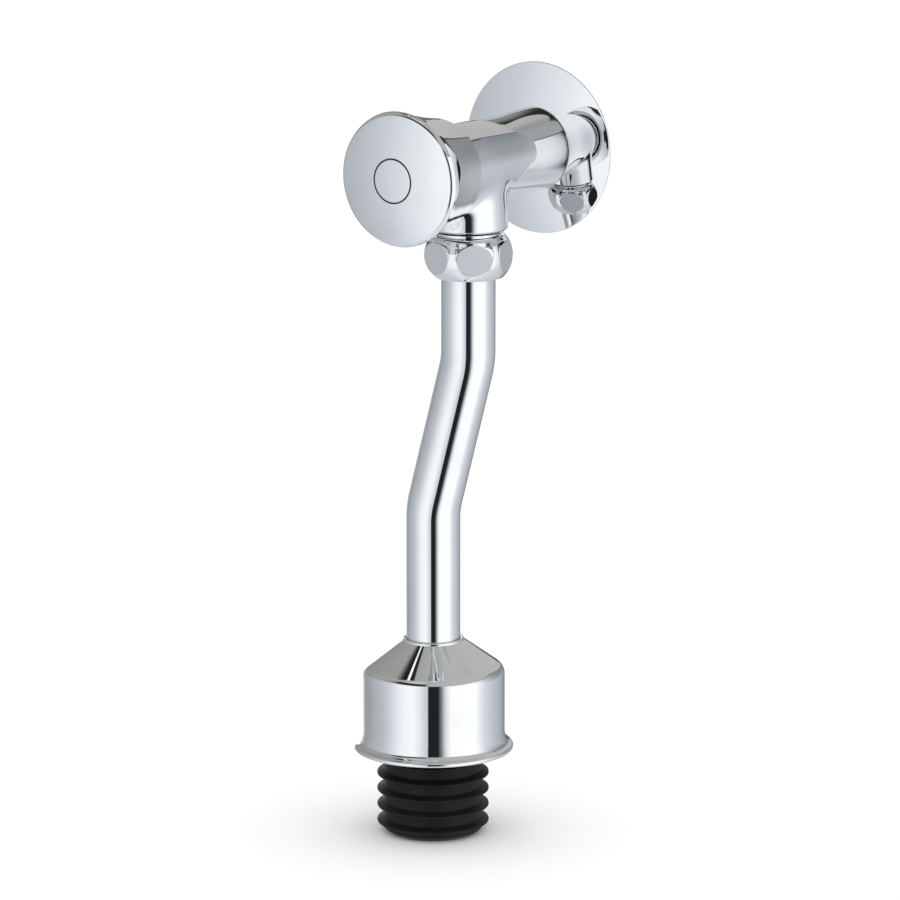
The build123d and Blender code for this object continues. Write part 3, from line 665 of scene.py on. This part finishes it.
# wall flange: thin spherical dome with a rounded edge and a foot that stands on the wall
flangeValues = {
    "crown": 3.5,
    "hub": 2.98,
    "hubRing": 0.1,
    "sheet": 0.6,
    "foot": 1.0,
    "hole": 10.978,
    "edge": 0.28,
    "edgeRise": 0.02,
    "rings": 26,
    "around": 256,
}


def makeFlange(chrome):
    values = flangeValues
    outer = flangeRadius
    crown = values["crown"]
    sphere = (crown**2 + outer**2) / (2 * crown)
    half = values["sheet"] / 2

    def dome(radius, side):
        # flat under the body, where the hub stops the dome
        height = sphere - sqrt(sphere**2 - radius**2) - crown + side * half
        return (radius, max(height, (side + 1) * half - values["hub"]))

    steps = values["rings"]
    hole = values["hole"]
    edge = values["edge"]
    inner = outer - values["foot"]
    hub = sqrt(sphere**2 - (sphere - crown - half + values["hub"]) ** 2)
    radii = [hole, hub - values["hubRing"], hub, *evenly(hub + values["hubRing"], outer - edge, steps)]
    line = [dome(radius, -1) for radius in radii]
    line += rounded([line[-1], (outer, dome(outer, -1)[1] + values["edgeRise"], edge), (outer, 0)])[1:]
    line += [(inner, 0), *[dome(radius, 1) for radius in evenly(inner, hole, steps)]]
    piece = spun("wallFlangeDome", line, alongInlet, values["around"])
    dress(piece, chrome, "wall_flange", "wall_flange")


# button cap: domed face, rolled rim, flared skirt, hollow behind, a round pocket in its middle
capValues = {
    "dome": 88.0,
    "face": 21.35,
    "faceSteps": 30,
    "rimRound": 2.3,
    "rimEnd": 74,
    "rimSteps": 14,
    "flare": ((21.7, 8.3), (19.9, 15.4), (18.8, 21.0)),
    "flareSteps": 10,
    "skirtEnd": 17.85,
    "skirtBand": 0.5,
    "skirtLean": 0.05,
    "edge": 0.2,
    "wall": 1.3,
    "faceWall": 1.8,
    "rimWall": 1.5,
    "hollowGap": 0.1,
    "hollowSteps": 8,
    "domeSteps": 12,
    "web": 15.4,
    "webFrom": 3.8,
    "webTo": 4.9,
    "boss": 5.6,
    "bossDepth": 8.7,
    "pocket": 7.6,
    "pocketDepth": 1.6,
    "pocketEdge": 0.24,
    "pocketCurve": ((0.1, 0.56), (0.44, 0.9)),
    "screwHead": 2.95,
    "screwHeadDepth": 3.9,
    "screwHole": 1.55,
    "socket": 3.02,
    "socketDepth": 5.68,
    "insert": 7.27,
    "insertEdge": 0.24,
    "insertSeat": 0.02,
    "insertTurns": (0.4, 0.8, 1.2, pi / 2),
    "insertAround": 192,
    "groove": 0.12,
    "around": 256,
}


def capFace(radius, wall=0.0):
    # a point on the domed face, or on the hollow's dome a wall behind it
    sphere = capValues["dome"] - wall
    return (radius, buttonApex + wall + sphere - sqrt(sphere**2 - radius**2))


def makeCap(chrome):
    values = capValues
    apex = buttonApex
    back = capBack
    soft = values["edge"]
    pocket = values["pocket"]
    lip = values["pocketEdge"]
    floor = apex + values["pocketDepth"]
    lipFoot = capFace(pocket)[1] + lip
    line = [(pocket, floor), (pocket, lipFoot)]
    line += [(pocket + lip * out, lipFoot - lip * rise) for out, rise in values["pocketCurve"]]
    line += [capFace(radius) for radius in evenly(pocket + lip, values["face"], values["faceSteps"])[:-1]]
    face, rimFront = capFace(values["face"])
    lean = asin(face / values["dome"])
    rim = values["rimRound"]
    for turn in evenly(lean, radians(values["rimEnd"]), values["rimSteps"]):
        line.append((face + rim * (sin(turn) - sin(lean)), rimFront + rim * (cos(lean) - cos(turn))))
    wall = values["wall"]
    end = values["skirtEnd"]
    inside = end - wall
    band = values["skirtBand"]
    flare = [(radius, apex + depth) for radius, depth in values["flare"]]
    line += flowing([line[-1], *flare, (end, back)], (-0.33, 1), (-0.1, 1), values["flareSteps"])[1:-1]
    webBack = back - values["webFrom"]
    webFront = back - values["webTo"]
    line += rounded([
        (end + values["skirtLean"] * band, back - band),
        (end, back, soft),
        (inside, back, soft),
        (inside, back - band),
        (inside, webBack),
        (values["web"], webBack, soft),
        (values["web"], webFront, soft),
        (inside + soft, webFront),
    ], 3)[1:]
    boss = values["boss"]
    faceWall = values["faceWall"]
    innerEdge = values["face"] - values["rimWall"]
    hollow = [(inside + soft, webFront - values["hollowGap"])]
    hollow += [(radius - wall, height) for radius, height in reversed(flare)]
    line += flowing([*hollow, capFace(innerEdge, faceWall)], (0.1, -1), (0, -1), values["hollowSteps"])
    line += [capFace(radius, faceWall) for radius in evenly(innerEdge, boss, values["domeSteps"])[1:]]
    radius = boss
    steps = (("socket", "bossDepth"), ("screwHole", "socketDepth"), ("screwHead", "screwHeadDepth"))
    for inner, depth in steps:
        line += [(radius, apex + values[depth]), (values[inner], apex + values[depth])]
        radius = values[inner]
    line.append((radius, floor))
    piece = spun("buttonShell", line, alongInlet, values["around"])
    dress(piece, chrome, "push_button", "button_cap")


def makeInsert(chrome):
    values = capValues
    edge = values["insertEdge"]
    outer = values["insert"]
    line = [capFace(radius) for radius in evenly(0, outer - edge, values["domeSteps"])]
    front = line[-1][1]
    back = buttonApex + values["pocketDepth"] - values["insertSeat"]
    for turn in values["insertTurns"]:
        line.append((outer - edge * (1 - sin(turn)), front + edge * (1 - cos(turn))))
    line += [(outer, back), (0, back)]
    disc = spun("buttonDisc", line, alongInlet, values["insertAround"], closed=False)
    dress(disc, chrome, "push_button", "button_insert")


# valve body: barrel along the inlet, neck along the outlet, blended where they meet
bodyValues = {
    "backRadius": 14.7,
    "waistRadius": 13.7,
    "frontRadius": 14.8,
    "waist": -24.0,
    "swell": -51.0,
    "edge": 0.5,
    "backGap": 0.2,
    "backSlope": -0.05,
    "waistSlope": -0.0016,
    "backRing": 12.7,
    "backRound": 0.35,
    "backRows": 22,
    "frontRing": 12.1,
    "frontRound": 0.3,
    "frontRows": 5,
    "bores": ((12.6, -6.849), (10.02, -15.249), (9.4, -28.0), (11.0, -60.1)),
    "frontBore": 12.0,
    "overrun": 1.0,
    "neckTop": 12.7,
    "neckFoot": 13.9,
    "neckFootZ": -21.6,
    "neckFootRound": 0.3,
    "neckEnd": 12.3,
    "neckEndZ": -23.0,
    "neckBore": 8.0,
    "relief": 11.1,
    "reliefZ": -24.2,
    "thread": 11.9,
    "threadDepth": 0.8,
    "threadPitch": 1.5,
    "threadCrest": 0.2,
    "threadChamfer": 1.0,
    "threadTurns": 8,
    "threadBelow": 1.6,
    "patch": 19.0,
    "patchRows": 36,
    "patchReach": 6.0,
    "patchHold": 0.05,
    "barrelSteps": 120,
    "neckBoreSteps": 96,
    "joinZ": -20.4,
    "joinRows": 26,
    "blendFront": 4.4,
    "blendBack": 2.8,
    "blendSpan": 10.0,
    "fadeFrom": -7.0,
    "fadeRate": 0.08,
}


def barrelRadius(y):
    values = bodyValues
    if y < values["swell"]:
        return values["frontRadius"]
    if y < values["waist"]:
        ends = (values["waist"], values["swell"], values["waistRadius"], values["frontRadius"])
        slopes = (values["waistSlope"], 0.0)
    else:
        ends = (bodyHigh.y - values["edge"], values["waist"], values["backRadius"], values["waistRadius"])
        slopes = (values["backSlope"], values["waistSlope"])
    length = ends[0] - ends[1]
    t = (ends[0] - y) / length
    rise = (1 + 2 * t) * (1 - t) ** 2 * ends[2] + t * t * (3 - 2 * t) * ends[3]
    return rise + length * (t * (1 - t) ** 2 * slopes[0] - t * t * (1 - t) * slopes[1])


def neckRadius(z):
    values = bodyValues
    return values["neckTop"] + (values["neckFoot"] - values["neckTop"]) * z / values["neckFootZ"]


def outsideBody(p):
    # about how far a point lies outside barrel and neck, with the corner between them filled
    values = bodyValues
    barrel = hypot(p.x, p.z) - barrelRadius(p.y)
    above = max(0.0, p.z - values["fadeFrom"])
    neck = hypot(p.x, p.y - outletY) - neckRadius(p.z) + values["fadeRate"] * above**2
    back = min(max((p.y - outletY) / values["blendSpan"], 0.0), 1.0)
    share = back * back * (3 - 2 * back)
    blend = values["blendFront"] + (values["blendBack"] - values["blendFront"]) * share
    near = max(blend - abs(barrel - neck), 0.0) / blend
    return min(barrel, neck) - near**3 * blend / 6


def ontoBody(p):
    # walks a point down the slope of outsideBody to the surface, with short steps where it is nearly flat
    step = 0.01
    flattest = 0.05
    for _ in range(5):
        away = outsideBody(p)
        slope = Vector([
            (outsideBody(p + Vector(axis) * step) - outsideBody(p - Vector(axis) * step)) / (2 * step)
            for axis in ((1, 0, 0), (0, 1, 0), (0, 0, 1))
        ])
        p = p - slope * (away / max(slope.length_squared, flattest))
    return p


def makeBodyShell():
    values = bodyValues
    back = bodyHigh.y - values["backGap"]
    front = bodyLow.y
    low = bodyLow.z
    patchBack = outletY + values["patch"]
    patchFront = outletY - values["patch"]
    heights = evenly(back - values["edge"], patchBack, values["backRows"])[1:-1]
    heights += evenly(patchBack, patchFront, values["patchRows"])[:-1]
    heights += evenly(patchFront, front + values["edge"], values["frontRows"])
    barrel = spun("bodyCasting", rounded([
        (0, back),
        (values["backRing"], back),
        (barrelRadius(back - values["edge"]), back, values["backRound"]),
        *[(barrelRadius(height), height) for height in heights],
        (values["frontRadius"], front, values["frontRound"]),
        (values["frontRing"], front),
        (0, front),
    ], 4), alongInlet, values["barrelSteps"], closed=False)
    removeFaces(barrel, lambda p: patchFront < p.y < patchBack and p.z < 0)
    editOff()
    around = 2 * (values["patchRows"] + values["barrelSteps"] // 2)
    neck = spun("neckTurning", rounded([
        (neckRadius(values["joinZ"]), values["joinZ"]),
        (values["neckFoot"], values["neckFootZ"], values["neckFootRound"]),
        (values["neckEnd"], values["neckEndZ"]),
        (values["relief"], values["neckEndZ"]),
        (values["relief"], values["reliefZ"]),
        (values["thread"], values["reliefZ"]),
        (values["thread"], low + values["threadChamfer"]),
        (values["thread"] - values["threadChamfer"], low),
        (0, low),
    ], 4), alongOutlet, around, closed=False)
    activate(barrel)
    neck.select_set(True)
    bpy.ops.object.join()
    editOn()
    chooseOpenEdges()
    bpy.ops.mesh.bridge_edge_loops(number_cuts=values["joinRows"])
    closeMesh()

    def inPatch(p):
        # the patch's border, where barrel and neck start, stays as it is
        hold = values["patchHold"]
        inside = patchFront + hold < p.y < patchBack - hold and values["joinZ"] + hold < p.z < -hold
        return inside and outsideBody(p) > -values["patchReach"]

    reshape(barrel, inPatch, ontoBody)
    return barrel


def makeBody(chrome):
    values = bodyValues
    body = makeBodyShell()
    start = bodyHigh.y + values["overrun"]
    bore = [(0, start)]
    for radius, end in (*values["bores"], (values["frontBore"], bodyLow.y - values["overrun"])):
        bore += [(radius, start), (radius, end)]
        start = end
    cut(body, spun("boreCutter", bore + [(0, start)], alongInlet, values["barrelSteps"], closed=False))
    low = bodyLow.z - values["overrun"]
    drop = [(0, 0), (values["neckBore"], 0), (values["neckBore"], low), (0, low)]
    cut(body, spun("dropCutter", drop, alongOutlet, values["neckBoreSteps"], closed=False))
    groove = threadCutter("neckGroove", values, values["threadTurns"])
    groove.data.transform(Matrix.Translation(Vector((0, outletY, bodyLow.z - values["threadBelow"])) * mm))
    cut(body, groove)
    dress(body, chrome, "valve_body", "valve_body")


# union nut: barrel-shaped, six flats with round outlines, a lip below that holds the slip ring
nutValues = {
    "top": 12.9,
    "middle": 15.4,
    "bottom": 12.3,
    "flat": 14.0,
    "heading": 14,
    "hole": 9.7,
    "bore": 12.0,
    "lip": 1.6,
    "chamfer": 0.3,
    "edge": 0.25,
    "edgeBand": 0.35,
    "flatEdge": 0.16,
    "rows": 28,
    "patchRows": 13,
    "patchSteps": 13,
    "patchWall": 0.6,
    "steps": 180,
    "arcSteps": 64,
    "bridgeRows": 5,
}


def nutRadius(z):
    values = nutValues
    low = nutLow.z
    high = nutHigh.z
    middle = (values["middle"], (low + high) / 2)
    points = bowed((values["top"], high), middle, (values["bottom"], low), values["arcSteps"])
    for (r1, h1), (r2, h2) in zip(points, points[1:]):
        if h2 <= z <= h1:
            return r1 + (r2 - r1) * (h1 - z) / (h1 - h2)
    return values["bottom"]


def flatOutline(heading, angle):
    # point where the flat meets the barrel, in the direction of that angle on the flat
    flat = nutValues["flat"]
    near = 0.0
    far = 9.0
    for _ in range(30):
        reach = (near + far) / 2
        z = (nutLow.z + nutHigh.z) / 2 + reach * sin(angle)
        if hypot(flat, reach * cos(angle)) < nutRadius(z):
            near = reach
        else:
            far = reach
    side = reach * cos(angle)
    turn = radians(heading)
    return Vector((flat * cos(turn) - side * sin(turn), flat * sin(turn) + side * cos(turn) + outletY, z))


def makeNut(chrome):
    values = nutValues
    low = nutLow.z
    high = nutHigh.z
    hole = values["hole"]
    bore = values["bore"]
    edge = values["edge"]
    chamfer = values["chamfer"]
    lip = low + values["lip"]
    levels = evenly(high - values["edgeBand"], low + values["edgeBand"], values["rows"])
    outside = [(nutRadius(z), z) for z in levels]
    line = rounded([(bore + chamfer, high), (nutRadius(high), high, edge), outside[1]], 4)[1:-1] + outside
    line += rounded([outside[-2], (nutRadius(low), low, edge), (hole + chamfer, low)], 4)[1:]
    line += [(hole, low + chamfer), (hole, lip), (bore, lip), (bore, high - chamfer)]
    line.append((bore + chamfer, high))
    nut = spun("unionNutShell", line, alongOutlet, values["steps"])
    reach = 2 * pi / values["steps"] * values["patchSteps"]
    around = 4 * (values["patchRows"] + values["patchSteps"])
    patchHeight = values["patchRows"] * (levels[0] - levels[1])
    for heading in range(values["heading"], values["heading"] + 360, 60):

        def onPatch(p):
            turn = (atan2(p.y - outletY, p.x) - radians(heading) + pi) % (2 * pi) - pi
            level = abs(p.z - (low + high) / 2) < patchHeight
            return abs(turn) < reach and level and hypot(p.x, p.y - outletY) > bore + values["patchWall"]

        def ontoNut(p):
            grow = nutRadius(p.z) / hypot(p.x, p.y - outletY)
            return Vector((p.x * grow, (p.y - outletY) * grow + outletY, p.z))

        removeFaces(nut, onPatch)
        bpy.ops.mesh.primitive_circle_add(vertices=around, radius=5 * mm)
        editOff()
        for vertex in nut.data.vertices:
            if vertex.select:
                vertex.co = flatOutline(heading, atan2(vertex.co.y, vertex.co.x)) * mm
        editOn()
        chooseOpenEdges()
        bpy.ops.mesh.bridge_edge_loops(number_cuts=values["bridgeRows"])
        editOff()
        reshape(nut, onPatch, ontoNut)
        editOn()
        chooseOpenEdges()
        bpy.ops.mesh.edge_face_add()
        bpy.ops.mesh.bevel(offset=values["flatEdge"] * mm, segments=2, affect="EDGES")
        editOff()
    editOn()
    closeMesh()
    dress(nut, chrome, "union_nut", "union_nut", smooth=16)


# flush tube: collar, straight, S bend, straight, drawn down outside and back up inside
tubeValues = {
    "radius": 9.5,
    "bore": 8.7,
    "collar": 11.3,
    "collarDepth": 1.5,
    "upperBend": -68.0,
    "bendDrop": 52.8,
    "bend": 32.0,
    "around": 128,
    "bendSteps": 16,
    "edge": 0.2,
}


def slide(run):
    bpy.ops.mesh.extrude_region_move(TRANSFORM_OT_translate={"value": run * mm})


def drawRings(centre, radius, *rings):
    # each ring is given by how far it rises from the one before, and its radius
    for rise, wider in rings:
        slide(Vector((0, 0, rise)))
        if wider != radius:
            factor = wider / radius
            bpy.ops.transform.resize(value=(factor, factor, 1), center_override=centre * mm)
        radius = wider


def makeTube(chrome):
    values = tubeValues
    radius = values["radius"]
    bore = values["bore"]
    collar = values["collar"]
    edge = values["edge"]
    top = tubeHigh.z
    up = Vector((0, 0, 1))
    side = Vector((spudX, spudY - outletY, 0))
    bendAngle = atan2(side.length, values["bendDrop"])
    side.normalize()
    tangent = values["bend"] * tan(bendAngle / 2)
    slant = side * sin(bendAngle) - up * cos(bendAngle)
    run = slant * (values["bendDrop"] / cos(bendAngle) - 2 * tangent)
    upperCorner = Vector((0, outletY, values["upperBend"]))
    upperCentre = upperCorner + up * tangent + side * values["bend"]
    lowerCentre = upperCorner + slant * tangent + run
    lowerCentre -= (side * cos(bendAngle) + up * sin(bendAngle)) * values["bend"]
    upperStart = values["upperBend"] + tangent
    lowerEnd = values["upperBend"] - values["bendDrop"] - tangent
    outlet = alongOutlet["origin"]
    spud = alongSpud["origin"]

    def bendRing(centre, angle):
        bpy.ops.mesh.spin(steps=values["bendSteps"], angle=angle, center=centre * mm, axis=up.cross(side))

    bpy.ops.object.select_all(action="DESELECT")
    bpy.ops.mesh.primitive_circle_add(
        vertices=values["around"], radius=bore * mm, location=(outlet + up * top) * mm
    )
    tube = newest("flushTube")
    bpy.ops.object.transform_apply(location=True)
    editOn()
    bpy.ops.mesh.select_mode(type="EDGE")
    bpy.ops.mesh.select_all(action="SELECT")
    drawRings(
        outlet, bore, (0, collar - edge), (-edge, collar), (2 * edge - values["collarDepth"], collar),
        (-edge, collar - edge), (0, radius + edge), (-edge, radius),
        (upperStart - top + values["collarDepth"] + edge, radius),
    )
    bendRing(upperCentre, bendAngle)
    slide(run)
    bendRing(lowerCentre, -bendAngle)
    drawRings(
        spud, radius, (tubeLow.z - lowerEnd + edge, radius), (-edge, radius - edge), (0, bore + edge),
        (edge, bore), (lowerEnd - tubeLow.z - edge, bore),
    )
    bendRing(lowerCentre, bendAngle)
    slide(-run)
    bendRing(upperCentre, -bendAngle)
    drawRings(outlet, bore, (top - upperStart, bore))
    closeMesh()
    dress(tube, chrome, "outlet_tube", "outlet_tube")


# bell cover: collar, cone, round shoulder, straight wall, flare and rolled bead, all 1 mm sheet
bellValues = {
    "hole": 9.7,
    "holeEdge": 0.2,
    "lip": 10.75,
    "lipEdge": 0.45,
    "collar": 0.9,
    "collarFoot": 0.25,
    "coneAngle": 54.4,
    "radius": 25.0,
    "shoulder": 4.0,
    "outerFlare": ((0.0, 6.8), (0.25, 4.6), (0.85, 2.9)),
    "outerSteps": 10,
    "innerFlare": ((0.15, 2.3), (-0.7, 4.1), (-1.0, 6.4)),
    "innerSteps": 8,
    "bead": 0.95,
    "beadTop": 70,
    "wall": 1.0,
    "around": 256,
}


def makeBell(chrome):
    values = bellValues
    radius = values["radius"]
    lip = values["lip"]
    hole = values["hole"]
    wall = values["wall"]
    shoulder = values["shoulder"]
    top = bellHigh.z
    rim = bellLow.z
    rimRadius = (bellHigh.x - bellLow.x) / 2
    cone = radians(values["coneAngle"])
    coneTop = top - values["collar"]
    corner = coneTop - (radius - lip) / tan(cone)
    innerCorner = corner + wall / tan(cone) - wall / sin(cone)
    bead = values["bead"]
    beadTop = values["beadTop"]

    def beadPoint(angle):
        turn = radians(angle)
        return (rimRadius - bead + bead * cos(turn), rim + bead + bead * sin(turn))

    def flare(name):
        return [(radius + out, rim + rise) for out, rise in values[name]]

    line = rounded([
        (hole, innerCorner + (radius - wall - hole) / tan(cone)),
        (hole, top, values["holeEdge"], 3),
        (lip, top, values["lipEdge"], 5),
        (lip, coneTop, values["collarFoot"], 4),
        (radius, corner, shoulder, 22),
        *flowing([*flare("outerFlare"), beadPoint(beadTop)], (0, -1), (0.94, -0.34), values["outerSteps"]),
        *[beadPoint(angle) for angle in range(beadTop - 10, -179, -10)],
        *flowing([beadPoint(-180), *flare("innerFlare")], (0, 1), (0, 1), values["innerSteps"]),
        (radius - wall, innerCorner, shoulder - wall, 16),
    ])
    bell = spun("bellShell", line, alongSpud, values["around"])
    dress(bell, chrome, "bell_cover", "bell_cover")


# rubber seal: sleeve with ribs, softened edges from the mould
sealValues = {
    "hole": 9.52,
    "holeEdge": 0.3,
    "body": 17.3,
    "rib": 19.5,
    "pitch": 5.7,
    "firstRib": 7.0,
    "ribs": 5,
    "ribProfile": ((0.0, 1.6, 0.4), (1.0, 0.35, 0.25), (1.0, -0.35, 0.25), (0.0, -0.95, 0.25)),
    "edge": 1.0,
    "edgeRound": 0.5,
    "around": 192,
}


def makeSeal(rubber):
    values = sealValues
    top = sealHigh.z
    low = sealLow.z
    body = values["body"]
    edge = values["edge"]
    soft = values["edgeRound"]
    ribs = []
    for count in range(values["ribs"]):
        middle = top - values["firstRib"] - count * values["pitch"]
        height = values["rib"] - body
        ribs += [(body + height * share, middle + rise, bend) for share, rise, bend in values["ribProfile"]]
    line = rounded([
        (values["hole"], top, values["holeEdge"]),
        (body - edge, top, soft),
        (body, top - edge, soft),
        *ribs,
        (body, low + edge, soft),
        (body - edge, low, soft),
        (values["hole"], low, values["holeEdge"]),
    ])
    seal = spun("spudSealRubber", line, alongSpud, values["around"])
    dress(seal, rubber, "outlet_tube", "spud_seal")


# inlet nipple with a pipe thread cut in it
nippleValues = {
    "bore": 7.0,
    "boreEdge": 0.3,
    "spigot": 10.0,
    "collar": 12.4,
    "collarBack": -3.2,
    "collarFront": -5.2,
    "edge": 0.2,
    "relief": 9.2,
    "reliefEnd": -1.9,
    "thread": 10.478,
    "threadStart": -1.3,
    "threadDepth": 1.16,
    "threadPitch": 1.814,
    "threadCrest": 0.25,
    "threadBelow": 1.4,
    "chamfer": 1.0,
    "shelf": 17.0,
    "mouth": 8.05,
    "around": 96,
}


def makeNipple(brass):
    values = nippleValues
    low, high = nodeBox("inlet_nipple")
    front = low.y
    mouth = high.y
    chamfer = values["chamfer"]
    edge = values["edge"]
    thread = values["thread"]
    line = rounded([
        (values["bore"], front, values["boreEdge"]),
        (values["spigot"] - chamfer, front),
        (values["spigot"], front + chamfer),
        (values["spigot"], values["collarFront"]),
        (values["collar"], values["collarFront"], edge),
        (values["collar"], values["collarBack"], edge),
        (values["relief"], values["collarBack"], values["boreEdge"]),
        (values["relief"], values["reliefEnd"]),
        (thread, values["threadStart"]),
        (thread, mouth - chamfer),
        (thread - chamfer, mouth),
        (values["mouth"], mouth),
        (values["mouth"], values["shelf"]),
        (values["bore"], values["shelf"], edge),
    ], 3)
    nipple = spun("inletNippleThreaded", line, alongInlet, values["around"])
    turns = int((mouth - values["threadStart"]) / values["threadPitch"]) + 3
    groove = threadCutter("inletGroove", values, turns)
    start = Vector((0, values["threadStart"] - values["threadBelow"], 0))
    groove.data.transform(Matrix.Translation(start * mm) @ Matrix.Rotation(-pi / 2, 4, "X"))
    cut(nipple, groove)
    dress(nipple, brass, "valve_body", "inlet_nipple", smooth=28)


# seals inside: each is a ring with soft edges, sized from its node's box
ringValues = {
    "cordSteps": 28,
    "cordAround": 128,
    "around": 144,
    "discHole": 2.02,
    "discEdge": 0.2,
    "washerHole": 8.0,
    "washerEdge": 0.12,
}


def makeCordRing(name, node, rubber):
    low, high = nodeBox(node)
    cord = (high.y - low.y) / 2
    middle = (high.x - low.x) / 2 - cord
    line = [
        (middle + cord * cos(turn), (low.y + high.y) / 2 + cord * sin(turn))
        for turn in evenly(0, 2 * pi, ringValues["cordSteps"])[:-1]
    ]
    dress(spun(name, line, alongInlet, ringValues["cordAround"]), rubber, "valve_body", node)


def makeFlatRing(name, node, body, material, axis, kind):
    low, high = nodeBox(node)
    outer = (high.x - low.x) / 2
    hole = ringValues[kind + "Hole"]
    bottom, top = (low.y, high.y) if axis is alongInlet else (low.z, high.z)
    corners = ((hole, bottom), (outer, bottom), (outer, top), (hole, top))
    line = rounded([(*corner, ringValues[kind + "Edge"]) for corner in corners], 4)
    dress(spun(name, line, axis, ringValues["around"]), material, body, node)


lipSealValues = {
    "root": 6.4,
    "web": 0.7,
    "edge": 0.4,
    "soft": 0.15,
    "shoulder": 0.12,
    "tip": 0.1,
    "fold": 0.2,
}


def makeLipSeal(rubber):
    values = lipSealValues
    low, high = nodeBox("piston_lip_seal")
    outer = (high.x - low.x) / 2
    root = values["root"]
    edge = values["edge"]
    web = values["web"]
    soft = values["soft"]
    line = rounded([
        (root, high.y, soft),
        (outer - edge, high.y, soft),
        (outer, low.y + edge, values["shoulder"]),
        (outer, low.y, values["tip"]),
        (outer - edge, low.y, values["tip"]),
        (root + web, high.y - web, values["fold"]),
        (root + web, low.y, soft),
        (root, low.y, soft),
    ], 3)
    seal = spun("pistonLipRing", line, alongInlet, ringValues["around"])
    dress(seal, rubber, "push_button", "piston_lip_seal")


gripValues = {"hole": 9.55, "topWidth": 1.35, "holeEdge": 0.2, "footEdge": 0.12, "topEdge": 0.15}


def makeGripRing(rubber):
    values = gripValues
    low, high = nodeBox("cover_grip_ring")
    hole = values["hole"]
    line = rounded([
        (hole, low.z, values["holeEdge"]),
        ((high.x - low.x) / 2, low.z, values["footEdge"]),
        (hole + values["topWidth"], high.z, values["topEdge"]),
        (hole, high.z, values["holeEdge"]),
    ], 4)
    ring = spun("coverGripRubber", line, alongSpud, ringValues["around"])
    dress(ring, rubber, "bell_cover", "cover_grip_ring")


# return spring: round wire with closed end coils; how far it closes as the button goes in is worked out,
# but the coil is not flattened
springValues = {"wire": 0.45, "coil": 6.0, "turns": 4.5, "perTurn": 40, "closing": 0.045}


def makeSpring(steel):
    values = springValues
    low, high = nodeBox("return_spring")
    wire = values["wire"]
    start = low.y + wire
    length = high.y - low.y - 2 * wire
    count = int(values["turns"] * values["perTurn"])
    curve = bpy.data.curves.new("returnCoil", "CURVE")
    curve.dimensions = "3D"
    curve.bevel_depth = wire * mm
    curve.bevel_resolution = 4
    curve.use_fill_caps = True
    spline = curve.splines.new("POLY")
    spline.points.add(count)
    for index, point in enumerate(spline.points):
        share = index / count
        turn = 2 * pi * values["turns"] * share
        rise = share - values["closing"] * sin(2 * pi * share)
        place = Vector((values["coil"] * cos(turn), start + length * rise, values["coil"] * sin(turn))) * mm
        point.co = (*place, 1)
    coil = bpy.data.objects.new("returnCoil", curve)
    bpy.context.scene.collection.objects.link(coil)
    activate(coil)
    bpy.ops.object.convert(target="MESH")
    coil = bpy.context.active_object
    editOn()
    closeMesh()
    travel = next(joint for joint in frame["joints"] if joint["name"] == "button_push")["range_m"]
    dress(coil, steel, "valve_body", "return_spring", even=False)
    keep = 1 - max(abs(limit) for limit in travel) / mm / (high.y - low.y)
    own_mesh(coil)


addCamera()
addWorld()
addFloor()
print("camera, studio and floor are set")

# radii of the groove between disc and pocket, whose colour gets painted shade
groove = (capValues["insert"] - capValues["groove"], capValues["pocket"] + capValues["groove"])
chrome = chromeFinish("brightChrome")
buttonChrome = chromeFinish("buttonChrome", 1.0, groove)
discChrome = chromeFinish("discChrome", 1.4, groove)
levelBrass = turnedFinish("levelTurnedBrass", "brass", alongInlet, 0.16)
uprightBrass = turnedFinish("uprightTurnedBrass", "brass", alongOutlet, 0.16)
steel = turnedFinish("stainlessSteel", "steel", alongInlet, 0.2)
sealBlack = mouldedFinish("mouldedBlackRubber", rubberValues, 0.42)
ringBlack = mouldedFinish("sealRingRubber", rubberValues, 0.36, 0.5)
plastic = mouldedFinish("whiteAcetal", plasticValues, 0.32)
fibre = mouldedFinish("redFibre", fibreValues, 0.6)
print("finishes are made")

makeFlange(chrome)
makeCap(buttonChrome)
makeInsert(discChrome)
print("flange and button are turned")
makeBody(chrome)
print("valve body is cast, bored and threaded")
makeNut(chrome)
makeTube(chrome)
makeBell(chrome)
makeSeal(sealBlack)
print("nut, tube, bell and seal are made")
makeNipple(levelBrass)
for seals in ("inlet", "bonnet", "stem"):
    makeCordRing(f"{seals}SealRing", f"{seals}_o_ring", ringBlack)
makeFlatRing("valveDiscRubber", "valve_disc", "push_button", ringBlack, alongInlet, "disc")
makeFlatRing("tubeFibreWasher", "tube_washer", "outlet_tube", fibre, alongOutlet, "washer")
makeLipSeal(ringBlack)
makeGripRing(ringBlack)
makeSpring(steel)
print("inner pieces are made")

# pieces whose solids are right as they are get their finish here
carried = (
    (levelBrass, ("seat_ring", "disc_retainer", "bonnet", "push_stem", "metering_pin")),
    (uprightBrass, ("slip_ring",)),
    (steel, ("piston_clip", "button_screw", "stem_nut", "inlet_strainer")),
    (plastic, ("cartridge_sleeve", "piston", "guide_bush")),
)
for material, nodes in carried:
    for node in nodes:
        materials = frame["nodes"][node].data.materials
        materials.clear()
        materials.append(material)

bpy.context.scene.view_settings.view_transform = "Standard"
